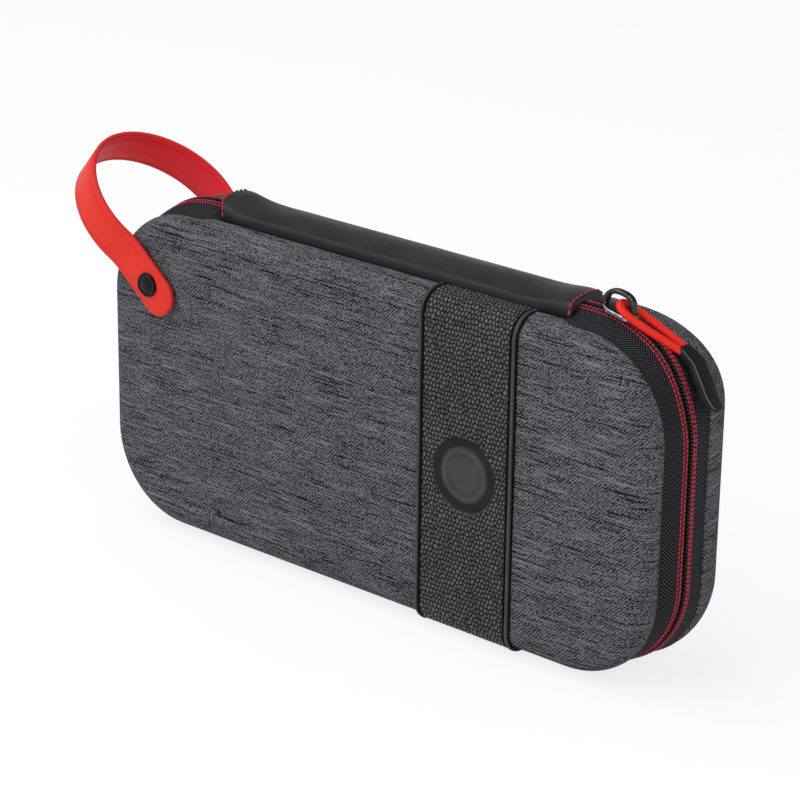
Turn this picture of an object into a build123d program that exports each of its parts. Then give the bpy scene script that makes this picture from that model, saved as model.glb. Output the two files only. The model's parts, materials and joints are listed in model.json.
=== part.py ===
from build123d import *
import os
from math import cos, degrees, radians, sin, sqrt

# Zip-around hard case for a hand-held game console, standing on its long side.
# Millimetres. X runs along the case, Y from the front to the rear, Z is up.
# The origin is at mid-length on the flat strip of the rear shell that the case stands on.

# Case body
CASE_LENGTH = 270.0
CASE_HEIGHT = 132.0
ZIP_Y = -15.0
FRONT_TAPE_WIDTH = 11.5
FRONT_SHELL_DEPTH = 8.5
REAR_TAPE_WIDTH = 12.0
REAR_SHELL_DEPTH = 22.0
FRONT_INSET = 1.6
SHELL_CORNER = 36.0
FRONT_EDGE = 8.0
REAR_EDGE = 16.0
SHELL_WALL = 4.0

# Spine panel on the top side
SPINE_END_DISTANCE = 48.0
SPINE_FRONT = 8.5
SPINE_CROWN = 4.6
SPINE_FRONT_SHOULDER = 1.4
SPINE_REAR_SHOULDER = 3.4
SPINE_ROOT = 2.0
SPINE_END_CHAMFER = 2.0
SPINE_EDGE_ROUND = 1.0

# Leather band round the front shell
BAND_FROM_END = 60.75
BAND_WIDTH = 45.0
BAND_THICKNESS = 1.2
MEDALLION_DIAMETER = 28.0
MEDALLION_RIM = 2.4
MEDALLION_DEPTH = 0.5

# Zip
ZIP_CORNER = 40.0
ZIP_GAP = 1.4
TAPE_THICKNESS = 1.2
TAPE_DROP = 0.8
TAPE_RUN = 80.0
FRONT_ZIP_INSET = 0.4
COIL_WIDTH = 1.9
COIL_HEIGHT = 1.5

# Zip slider, parked just past the spine on the right-hand top corner
SLIDER_PARKING = 9.2
SLIDER_LENGTH = 13.0
SLIDER_WIDTH = 8.0
SLIDER_PLATE = 1.4
SLIDER_CORNER = 2.0
SLIDER_LIFT = 0.6
SLIDER_UNDER = 1.0
SLIDER_NECK_LENGTH = 5.0
SLIDER_NECK_WIDTH = 0.8
SLIDER_NECK_X = 3.0
BRIDGE_LENGTH = 12.6
BRIDGE_HEIGHT = 9.0
BRIDGE_WIDTH = 2.4
BRIDGE_THICKNESS = 1.8

# Pull: a cord loop through the slider's bridge and a moulded grip
CORD_DIAMETER = 3.0
CORD_HALF_SPAN = 3.2
CORD_BEND = 3.0
CORD_X = 1.0
CORD_HEIGHT = 4.6
CORD_EMBED = 2.0
CORD_PASS = 2.4
CORD_SLOPE = 33.0
CORD_RUN = 22.5
GRIP_Y = 7.5
GRIP_STRAND = 1.75
GRIP_WIDTH = 8.2
GRIP_THICKNESS = 4.2
GRIP_LENGTH = 27.0
GRIP_SLOPE = 50.0
GRIP_BOW = 1.3
GRIP_ROUND = 1.2
GRIP_TIP_CUT = 3.0

# Carry strap and its two snap fasteners
STRAP_WIDTH = 17.6
STRAP_THICKNESS = 2.0
STRAP_STAND_OFF = 1.2
STRAP_ANGLE = 140.5
STRAP_TIP = 14.0
STRAP_TIP_ROUND = 8.4
STRAP_LEG = 15.5
STRAP_BOW_RADIUS = 16.0
STRAP_BOW_ANGLE = 18.0
STRAP_BOW_RUN = 0.6
SNAP_FROM_END = 27.1
SNAP_FROM_TOP = 29.3
SNAP_CAP_DIAMETER = 10.6
SNAP_CAP_HEIGHT = 2.4
SNAP_BARREL = 4.0
SNAP_SOCKET_DIAMETER = 9.0
SNAP_SOCKET_BORE = 5.2
SNAP_SOCKET_GAP = 0.3
SNAP_HEAD_DIAMETER = 4.2
SNAP_HEAD_GAP = 0.3
SNAP_POST = 3.0
SNAP_PLATE_DIAMETER = 12.0
SNAP_PLATE_THICKNESS = 1.0

# Inside: console cradle in the rear shell, mesh pocket in the front shell
FIT_GAP = 0.3
TRAY_DEPTH = 16.0
RECESS_MARGIN = 13.0
RECESS_CORNER = 14.0
RECESS_DEPTH = 13.5
SCOOP_RADIUS = 13.0
SCOOP_DEPTH = 11.0
TRAY_POCKET_GAP = 0.5
POCKET_MARGIN = 25.0
POCKET_BOTTOM = 12.0
POCKET_FROM_TOP = 36.0
POCKET_CORNER = 14.0
POCKET_DEPTH = 4.6
BINDING_WIDTH = 4.0
MESH_THICKNESS = 0.6
HEM_HEIGHT = 6.0
HEM_THICKNESS = 1.4

# Planes that follow from the sizes above
FRONT_RIM_Y = ZIP_Y - FRONT_TAPE_WIDTH
FRONT_FACE_Y = FRONT_RIM_Y - FRONT_SHELL_DEPTH
FRONT_INNER_Y = FRONT_FACE_Y + SHELL_WALL
REAR_RIM_Y = ZIP_Y + REAR_TAPE_WIDTH
REAR_FACE_Y = REAR_RIM_Y + REAR_SHELL_DEPTH
REAR_INNER_Y = REAR_FACE_Y - SHELL_WALL
SPINE_FRONT_Y = ZIP_Y - SPINE_FRONT
FRONT_TOP = CASE_HEIGHT - FRONT_INSET
SPINE_LENGTH = CASE_LENGTH - 2 * SPINE_END_DISTANCE
SNAP_X = SNAP_FROM_END - CASE_LENGTH / 2
SNAP_Z = CASE_HEIGHT - SNAP_FROM_TOP
BAND_CENTRE_X = CASE_LENGTH / 2 - BAND_FROM_END - BAND_WIDTH / 2
MEDALLION_Z = CASE_HEIGHT / 2
RECESS_LENGTH = CASE_LENGTH - 2 * RECESS_MARGIN
RECESS_HEIGHT = CASE_HEIGHT - 2 * RECESS_MARGIN
POCKET_LENGTH = CASE_LENGTH - 2 * POCKET_MARGIN
POCKET_HEIGHT = CASE_HEIGHT - POCKET_FROM_TOP - POCKET_BOTTOM
POCKET_Z = POCKET_BOTTOM + POCKET_HEIGHT / 2


def upright_plane(y):
    """XZ plane at depth y, with its centre at mid-height; it faces the front."""
    return Plane(origin=(0, y, CASE_HEIGHT / 2), x_dir=(1, 0, 0), z_dir=(0, -1, 0))


def outline(y, inset, corner):
    """Rounded rectangle of the case at depth y, drawn in by inset."""
    length = CASE_LENGTH - 2 * inset
    height = CASE_HEIGHT - 2 * inset
    return upright_plane(y) * RectangleRounded(length, height, corner)


def slab(rim_y, face_y, inset, corner):
    """Prism of the case's outline from the rim plane to a face, and that face's edges."""
    solid = extrude(outline(rim_y, inset, corner), amount=rim_y - face_y)
    faces = solid.faces().sort_by(Axis.Y)
    face = faces[0] if face_y < rim_y else faces[-1]
    return solid, face.edges()


def pan(rim_y, face_y, inset, corner, edge):
    """Solid dish from the rim plane to the outer face, with a rounded face edge."""
    return fillet(slab(rim_y, face_y, inset, corner)[1], radius=edge)


def liner(rim_y, face_y, inset, corner, edge):
    """Dish for the inside: its chamfered face edge touches the middle of a round of that radius."""
    return chamfer(slab(rim_y, face_y, inset, corner)[1], length=edge * (2 - sqrt(2)))


def block(x0, x1, y0, y1, z0, z1):
    """Box between two corners."""
    return Pos((x0 + x1) / 2, (y0 + y1) / 2, (z0 + z1) / 2) * Box(x1 - x0, y1 - y0, z1 - z0)


def rod_y(x, z, y0, y1, diameter):
    """Round rod along Y."""
    return Pos(x, (y0 + y1) / 2, z) * (Rot(90, 0, 0) * Cylinder(diameter / 2, abs(y1 - y0)))


# Shells
def front_tongue(x0, x1, top, thickness):
    """Strip of the front shell's top wall that runs back under the spine's front edge."""
    return block(x0, x1, FRONT_RIM_Y, SPINE_FRONT_Y - FIT_GAP, top - thickness, top)


def make_front_shell():
    outer = pan(FRONT_RIM_Y, FRONT_FACE_Y, FRONT_INSET, SHELL_CORNER, FRONT_EDGE)
    inner_inset = FRONT_INSET + SHELL_WALL
    inner_corner = SHELL_CORNER - SHELL_WALL
    inner = liner(FRONT_RIM_Y, FRONT_INNER_Y, inner_inset, inner_corner, FRONT_EDGE - SHELL_WALL)
    tongue = front_tongue(-SPINE_LENGTH / 2, SPINE_LENGTH / 2, FRONT_TOP, SHELL_WALL)
    post = rod_y(SNAP_X, SNAP_Z, FRONT_FACE_Y, FRONT_INNER_Y, SNAP_POST)
    return outer - inner + tongue - post


def make_rear_shell():
    outer = pan(REAR_RIM_Y, REAR_FACE_Y, 0, SHELL_CORNER, REAR_EDGE)
    inner_corner = SHELL_CORNER - SHELL_WALL
    inner = liner(REAR_RIM_Y, REAR_INNER_Y, SHELL_WALL, inner_corner, REAR_EDGE - SHELL_WALL)
    post = rod_y(SNAP_X, SNAP_Z, REAR_INNER_Y, REAR_FACE_Y, SNAP_POST)
    return outer - inner - post


def make_leather_band():
    """Sheet that follows the front shell from its lower rim over the face to the spine."""
    x0 = BAND_CENTRE_X - BAND_WIDTH / 2
    x1 = BAND_CENTRE_X + BAND_WIDTH / 2
    shell = pan(FRONT_RIM_Y, FRONT_FACE_Y, FRONT_INSET, SHELL_CORNER, FRONT_EDGE)
    skin = pan(
        FRONT_RIM_Y,
        FRONT_FACE_Y - BAND_THICKNESS,
        FRONT_INSET - BAND_THICKNESS,
        SHELL_CORNER + BAND_THICKNESS,
        FRONT_EDGE + BAND_THICKNESS,
    )
    span = block(x0, x1, FRONT_FACE_Y - SHELL_WALL, FRONT_RIM_Y, -SHELL_WALL, CASE_HEIGHT + SHELL_WALL)
    band = (skin & span) - shell
    band += front_tongue(x0, x1, FRONT_TOP + BAND_THICKNESS, BAND_THICKNESS)
    face_y = FRONT_FACE_Y - BAND_THICKNESS
    disc = rod_y(BAND_CENTRE_X, MEDALLION_Z, face_y, face_y + MEDALLION_DEPTH, MEDALLION_DIAMETER)
    island_diameter = MEDALLION_DIAMETER - 2 * MEDALLION_RIM
    island = rod_y(BAND_CENTRE_X, MEDALLION_Z, face_y, face_y + MEDALLION_DEPTH, island_diameter)
    return band - (disc - island)


# Spine
def make_spine_panel():
    """Domed padded strip between the two shells, with rounded ends."""
    front_top = SPINE_FRONT_Y, CASE_HEIGHT + SPINE_FRONT_SHOULDER
    rear_top = REAR_RIM_Y, CASE_HEIGHT + SPINE_REAR_SHOULDER
    middle_top = (SPINE_FRONT_Y + REAR_RIM_Y) / 2, CASE_HEIGHT + SPINE_CROWN
    root = CASE_HEIGHT - SPINE_ROOT
    crown = ThreePointArc(front_top, middle_top, rear_top)
    sides = Polyline(rear_top, (REAR_RIM_Y, root), (SPINE_FRONT_Y, root), front_top)
    profile = make_face(Curve() + [crown, sides])
    strip = extrude(Plane.YZ * profile, amount=SPINE_LENGTH / 2, both=True)
    crown_face = strip.faces().sort_by(Axis.Z)[-1]
    ends = crown_face.edges().filter_by(Axis.X, reverse=True)
    strip = chamfer(ends, length=SPINE_END_CHAMFER)
    rows = strip.edges().filter_by(Axis.X).group_by(Axis.Y)
    top_edges = [rows[0].sort_by(Axis.Z)[-1], rows[-1].sort_by(Axis.Z)[-1]]
    return fillet(top_edges, radius=SPINE_EDGE_ROUND)


# Zip
def tape_inset(side, distance):
    """Inset of the tape's outer face at a distance from the zip's centre plane."""
    width, zip_inset, rim_inset = tape_side(side)
    share = (distance - ZIP_GAP / 2) / (width - ZIP_GAP / 2)
    return zip_inset + share * (rim_inset + TAPE_DROP - zip_inset)


def tape_corner(side, distance):
    """Corner radius of the tape's outer face at a distance from the zip's centre plane."""
    width = tape_side(side)[0]
    share = (distance - ZIP_GAP / 2) / (width - ZIP_GAP / 2)
    return ZIP_CORNER + share * (SHELL_CORNER - TAPE_DROP - ZIP_CORNER)


def tape_side(side):
    """Tape width, its inset at the zip and the shell's inset, on the front (-1) or the rear (+1)."""
    if side < 0:
        return FRONT_TAPE_WIDTH, FRONT_ZIP_INSET, FRONT_INSET
    return REAR_TAPE_WIDTH, 0.0, 0.0


def zip_ring(side, near, far, depth, thickness):
    """Part of a tape or coil ring between two distances from the zip's centre plane."""
    def section(distance, sunk):
        inset = tape_inset(side, distance) + sunk
        corner = tape_corner(side, distance) - sunk
        return outline(ZIP_Y + side * distance, inset, corner)

    outer = loft([section(near, depth), section(far, depth)], ruled=True)
    inner = loft([section(near, depth + thickness), section(far, depth + thickness)], ruled=True)
    half_span = SPINE_LENGTH / 2 + FIT_GAP
    spine_span = block(
        -half_span,
        half_span,
        FRONT_RIM_Y - SHELL_WALL,
        REAR_RIM_Y + SHELL_WALL,
        CASE_HEIGHT / 2,
        CASE_HEIGHT + SHELL_WALL,
    )
    return outer - inner - spine_span


def slider_plane():
    """Frame on the zip line at the parked slider: x along the zip, z outwards."""
    past_corner = SLIDER_PARKING + SLIDER_LENGTH / 2 + ZIP_CORNER - SPINE_END_DISTANCE
    turn = past_corner / ZIP_CORNER
    along = (cos(turn), 0, -sin(turn))
    outward = (sin(turn), 0, cos(turn))
    x = CASE_LENGTH / 2 - ZIP_CORNER + ZIP_CORNER * outward[0]
    z = CASE_HEIGHT - ZIP_CORNER + ZIP_CORNER * outward[2]
    return Plane(origin=(x, ZIP_Y, z), x_dir=along, z_dir=outward)


def make_tape(side):
    """Tape in three lengths that meet on the bottom run: left end, middle and right end."""
    ring = zip_ring(side, ZIP_GAP / 2, tape_side(side)[0], 0, TAPE_THICKNESS)
    middle = block(
        -TAPE_RUN / 2, TAPE_RUN / 2, FRONT_FACE_Y, REAR_FACE_Y, -SHELL_WALL, CASE_HEIGHT / 2
    )
    left, right = (ring - middle).solids().sort_by(Axis.X)
    return left, ring & middle, right


def make_coil(side):
    return zip_ring(side, ZIP_GAP / 2, ZIP_GAP / 2 + COIL_WIDTH, TAPE_THICKNESS, COIL_HEIGHT)


# Slider and pull
def make_slider():
    """Two plates on a neck through the zip's gap, with an arched bridge for the pull."""
    half = SLIDER_LENGTH / 2
    coil_radius = ZIP_CORNER - TAPE_THICKNESS - COIL_HEIGHT
    under = ZIP_CORNER - sqrt(coil_radius**2 - half**2) + SLIDER_UNDER
    plate = RectangleRounded(SLIDER_LENGTH, SLIDER_WIDTH, SLIDER_CORNER)
    upper = extrude(Pos(0, 0, SLIDER_LIFT) * plate, amount=SLIDER_PLATE)
    lower = extrude(Pos(0, 0, -under) * plate, amount=-SLIDER_PLATE)
    neck_height = SLIDER_LIFT + under
    neck = Pos(SLIDER_NECK_X, 0, SLIDER_LIFT - neck_height / 2) * Box(
        SLIDER_NECK_LENGTH, SLIDER_NECK_WIDTH, neck_height
    )
    top = SLIDER_LIFT + SLIDER_PLATE
    arch = Ellipse(BRIDGE_LENGTH / 2, BRIDGE_HEIGHT) - Ellipse(
        BRIDGE_LENGTH / 2 - BRIDGE_THICKNESS, BRIDGE_HEIGHT - BRIDGE_THICKNESS
    )
    arch &= Pos(0, BRIDGE_HEIGHT) * Rectangle(2 * BRIDGE_LENGTH, 2 * BRIDGE_HEIGHT)
    bridge = Pos(0, 0, top) * extrude(Plane.XZ * arch, amount=BRIDGE_WIDTH / 2, both=True)
    return slider_plane().location * (upper + lower + neck + bridge)


def cord_pivot():
    """Point on the bridge where the cord loop passes through and swings."""
    lift = SLIDER_LIFT + SLIDER_PLATE + CORD_HEIGHT
    return slider_plane().from_local_coords((CORD_X, 0, lift))


def grip_start():
    """Middle of the grip's upper end, where both strands go in."""
    slope = radians(CORD_SLOPE)
    start = cord_pivot() + Vector(CORD_RUN * cos(slope), 0, -CORD_RUN * sin(slope))
    return Vector(start.X, ZIP_Y + GRIP_Y, start.Z)


def make_cord():
    """One cord: up the near strand, round the bridge's leg, through it and down the far strand."""
    pivot = cord_pivot()
    end = grip_start()
    side = Vector(0, CORD_HALF_SPAN, 0)
    strand = Vector(0, GRIP_STRAND, 0)
    fall = radians(CORD_SLOPE)
    down = Vector(cos(fall), 0, -sin(fall))
    beside = pivot - side + down * (BRIDGE_LENGTH / 2 - CORD_X + CORD_PASS)
    sunk = end + down * CORD_EMBED
    route = [sunk - strand, beside, pivot - side, pivot + side, sunk + strand]
    path = FilletPolyline(*route, radius=CORD_BEND)
    cord = Part()
    for edge in path.edges():
        section = Plane(origin=edge @ 0, z_dir=edge % 0) * Circle(CORD_DIAMETER / 2)
        if edge.geom_type == GeomType.LINE:
            cord += extrude(section, amount=edge.length, dir=edge % 0)
        else:
            centre = edge.arc_center
            hub = Axis(centre, (edge @ 0 - centre).cross(edge % 0))
            cord += revolve(section, axis=hub, revolution_arc=degrees(edge.length / edge.radius))
    expected = section.area * path.length
    print(f"pull cord: length {path.length:.1f}, bend radius {CORD_BEND}")
    print(f"pull cord: volume {cord.volume:.1f}, section times length {expected:.1f}")
    return cord


def make_grip():
    """Slim moulded tab round the cord's ends, bowed along its length, with a slanted tip."""
    slope = radians(GRIP_SLOPE)
    along = (cos(slope), 0, -sin(slope))
    outward = (sin(slope), 0, cos(slope))
    half = GRIP_THICKNESS / 2
    heel = GRIP_LENGTH - GRIP_TIP_CUT, -half
    lower = ThreePointArc((0, -half), (GRIP_LENGTH / 2, GRIP_BOW - half), heel)
    tip = Line(heel, (GRIP_LENGTH, half))
    upper = ThreePointArc((GRIP_LENGTH, half), (GRIP_LENGTH / 2, GRIP_BOW + half), (0, half))
    head = Line((0, half), (0, -half))
    side = make_face(Curve() + [lower, tip, upper, head])
    frame = Plane(origin=grip_start(), x_dir=along, z_dir=(0, -1, 0))
    tab = extrude(frame * side, amount=GRIP_WIDTH / 2, both=True)
    return fillet(tab.edges().filter_by(Axis.Y).sort_by(Axis.Z)[0], radius=GRIP_ROUND)


# Carry strap
def strap_edge(offset):
    """Edge of the strap's U-shaped section, offset outwards from its middle line.

    The section lies in the plane of the strap's direction (u) and the depth (y).
    """
    half = (REAR_FACE_Y - FRONT_FACE_Y) / 2 + STRAP_STAND_OFF + STRAP_THICKNESS / 2
    turn = radians(STRAP_BOW_ANGLE)
    bow = STRAP_BOW_RADIUS - offset
    leg = half + offset
    bow_u = STRAP_LEG + bow * sin(turn)
    bow_y = half + STRAP_BOW_RADIUS - bow * cos(turn)
    run_u = bow_u + STRAP_BOW_RUN * cos(turn)
    run_y = bow_y + STRAP_BOW_RUN * sin(turn)
    loop = run_y / cos(turn)
    centre_u = run_u + loop * sin(turn)
    bend = bow * sin(turn / 2), bow * cos(turn / 2)
    bow_middle = STRAP_LEG + bend[0], half + STRAP_BOW_RADIUS - bend[1]

    def mirrored(point):
        return point[0], -point[1]

    tip, leg_end = (-STRAP_TIP, leg), (STRAP_LEG, leg)
    bow_end, run_end = (bow_u, bow_y), (run_u, run_y)
    return [
        Line(mirrored(tip), mirrored(leg_end)),
        ThreePointArc(mirrored(leg_end), mirrored(bow_middle), mirrored(bow_end)),
        Line(mirrored(bow_end), mirrored(run_end)),
        ThreePointArc(mirrored(run_end), (centre_u + loop, 0), run_end),
        Line(run_end, bow_end),
        ThreePointArc(bow_end, bow_middle, leg_end),
        Line(leg_end, tip),
    ], mirrored(tip), tip


def make_strap():
    outer, outer_front, outer_rear = strap_edge(STRAP_THICKNESS / 2)
    inner, inner_front, inner_rear = strap_edge(-STRAP_THICKNESS / 2)
    closing = [Line(outer_front, inner_front), Line(outer_rear, inner_rear)]
    section = make_face(Curve() + outer + inner + closing)
    turn = radians(STRAP_ANGLE)
    middle_y = (FRONT_FACE_Y + REAR_FACE_Y) / 2
    frame = Plane(
        origin=(SNAP_X, middle_y, SNAP_Z), x_dir=(cos(turn), 0, sin(turn)), z_dir=(-sin(turn), 0, cos(turn))
    )
    strap = extrude(frame * section, amount=STRAP_WIDTH / 2, both=True)
    strap = fillet(strap.edges().filter_by(Axis.Y), radius=STRAP_TIP_ROUND)
    reach = REAR_FACE_Y - FRONT_FACE_Y
    return strap - rod_y(SNAP_X, SNAP_Z, middle_y - reach, middle_y + reach, SNAP_BARREL)


def snap_depths(side):
    """Shell's outer and inner faces and the strap's inner and outer faces at a snap."""
    face, inner = (FRONT_FACE_Y, FRONT_INNER_Y) if side < 0 else (REAR_FACE_Y, REAR_INNER_Y)
    near = face + side * STRAP_STAND_OFF
    return face, inner, near, near + side * STRAP_THICKNESS


def make_snap(side):
    """Cap and socket on the strap, stud and backing plate on the shell."""
    face, inner, near, far = snap_depths(side)
    axis = Plane(origin=(SNAP_X, far, SNAP_Z), x_dir=(1, 0, 0), z_dir=(0, side, 0))
    dome = Sphere((SNAP_CAP_DIAMETER**2 / 4 + SNAP_CAP_HEIGHT**2) / (2 * SNAP_CAP_HEIGHT))
    sink = (SNAP_CAP_DIAMETER**2 / 4 - SNAP_CAP_HEIGHT**2) / (2 * SNAP_CAP_HEIGHT)
    reach = 2 * SNAP_CAP_DIAMETER
    above = Pos(0, 0, SNAP_CAP_HEIGHT / 2) * Box(reach, reach, SNAP_CAP_HEIGHT)
    cap = axis.location * ((Pos(0, 0, -sink) * dome) & above)
    cap += rod_y(SNAP_X, SNAP_Z, near, far, SNAP_BARREL)
    seat = face + side * SNAP_SOCKET_GAP
    socket = rod_y(SNAP_X, SNAP_Z, seat, near, SNAP_SOCKET_DIAMETER)
    socket -= rod_y(SNAP_X, SNAP_Z, seat, near, SNAP_SOCKET_BORE)
    stud = rod_y(SNAP_X, SNAP_Z, inner, face, SNAP_POST)
    stud += rod_y(SNAP_X, SNAP_Z, face, near - side * SNAP_HEAD_GAP, SNAP_HEAD_DIAMETER)
    plate = rod_y(SNAP_X, SNAP_Z, inner, inner - side * SNAP_PLATE_THICKNESS, SNAP_PLATE_DIAMETER)
    return cap, socket, stud, plate


# Inside
def make_tray():
    """Moulded cradle: a console-shaped recess with finger scoops at both ends."""
    front_y = REAR_INNER_Y - TRAY_DEPTH
    inset = SHELL_WALL + FIT_GAP
    body = liner(front_y, REAR_INNER_Y, inset, SHELL_CORNER - inset, REAR_EDGE - SHELL_WALL)
    recess = extrude(
        upright_plane(front_y) * RectangleRounded(RECESS_LENGTH, RECESS_HEIGHT, RECESS_CORNER),
        amount=-RECESS_DEPTH,
    )
    scoop = extrude(
        upright_plane(front_y) * SlotCenterToCenter(RECESS_LENGTH - RECESS_CORNER, 2 * SCOOP_RADIUS),
        amount=-SCOOP_DEPTH,
    )
    pocket_diameter = SNAP_PLATE_DIAMETER + 2 * TRAY_POCKET_GAP
    pocket_y = REAR_INNER_Y - SNAP_PLATE_THICKNESS - TRAY_POCKET_GAP
    pocket = rod_y(SNAP_X, SNAP_Z, pocket_y, REAR_INNER_Y, pocket_diameter)
    return body - recess - scoop - pocket


def pocket_outline(y, inset):
    """Mesh pocket's rounded outline at depth y."""
    plane = Plane(origin=(0, y, POCKET_Z), x_dir=(1, 0, 0), z_dir=(0, -1, 0))
    length = POCKET_LENGTH - 2 * inset
    height = POCKET_HEIGHT - 2 * inset
    return plane * RectangleRounded(length, height, POCKET_CORNER - inset)


def make_pocket():
    """Three-sided binding on the front shell's lining, the mesh on it and its elastic hem."""
    mesh_y = FRONT_INNER_Y + POCKET_DEPTH
    top = POCKET_Z + POCKET_HEIGHT / 2
    half = POCKET_LENGTH / 2
    frame = extrude(pocket_outline(mesh_y, 0) - pocket_outline(mesh_y, BINDING_WIDTH), amount=POCKET_DEPTH)
    mouth = block(
        -half + BINDING_WIDTH, half - BINDING_WIDTH, FRONT_INNER_Y, mesh_y, top - POCKET_CORNER, top
    )
    mesh = extrude(pocket_outline(mesh_y, 0), amount=-MESH_THICKNESS)
    hem_half = half - POCKET_CORNER
    face_y = mesh_y + MESH_THICKNESS
    hem = block(-hem_half, hem_half, face_y, face_y + HEM_THICKNESS, top - HEM_HEIGHT, top)
    hem = fillet(hem.edges().filter_by(Axis.X), radius=HEM_THICKNESS / 3)
    return frame - mouth, mesh, hem


def main():
    os.makedirs("parts", exist_ok=True)
    nodes = {
        "front_shell": make_front_shell(),
        "rear_shell": make_rear_shell(),
        "leather_band": make_leather_band(),
        "spine_panel": make_spine_panel(),
        "zip_slider": make_slider(),
        "pull_cord": make_cord(),
        "pull_grip": make_grip(),
        "carry_strap": make_strap(),
        "console_tray": make_tray(),
    }
    for side, name in ((-1, "front"), (1, "rear")):
        left, middle, right = make_tape(side)
        nodes[f"{name}_zip_tape_left"] = left
        nodes[f"{name}_zip_tape_bottom"] = middle
        nodes[f"{name}_zip_tape_right"] = right
        nodes[f"{name}_zip_coil"] = make_coil(side)
        cap, socket, stud, plate = make_snap(side)
        nodes[f"{name}_snap_cap"] = cap
        nodes[f"{name}_snap_socket"] = socket
        nodes[f"{name}_snap_stud"] = stud
        nodes[f"{name}_snap_backplate"] = plate
    binding, mesh, hem = make_pocket()
    nodes["pocket_binding"] = binding
    nodes["mesh_pocket"] = mesh
    nodes["pocket_hem"] = hem
    for name, solid in nodes.items():
        export_step(solid, f"parts/{name}.step")


main()
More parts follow.
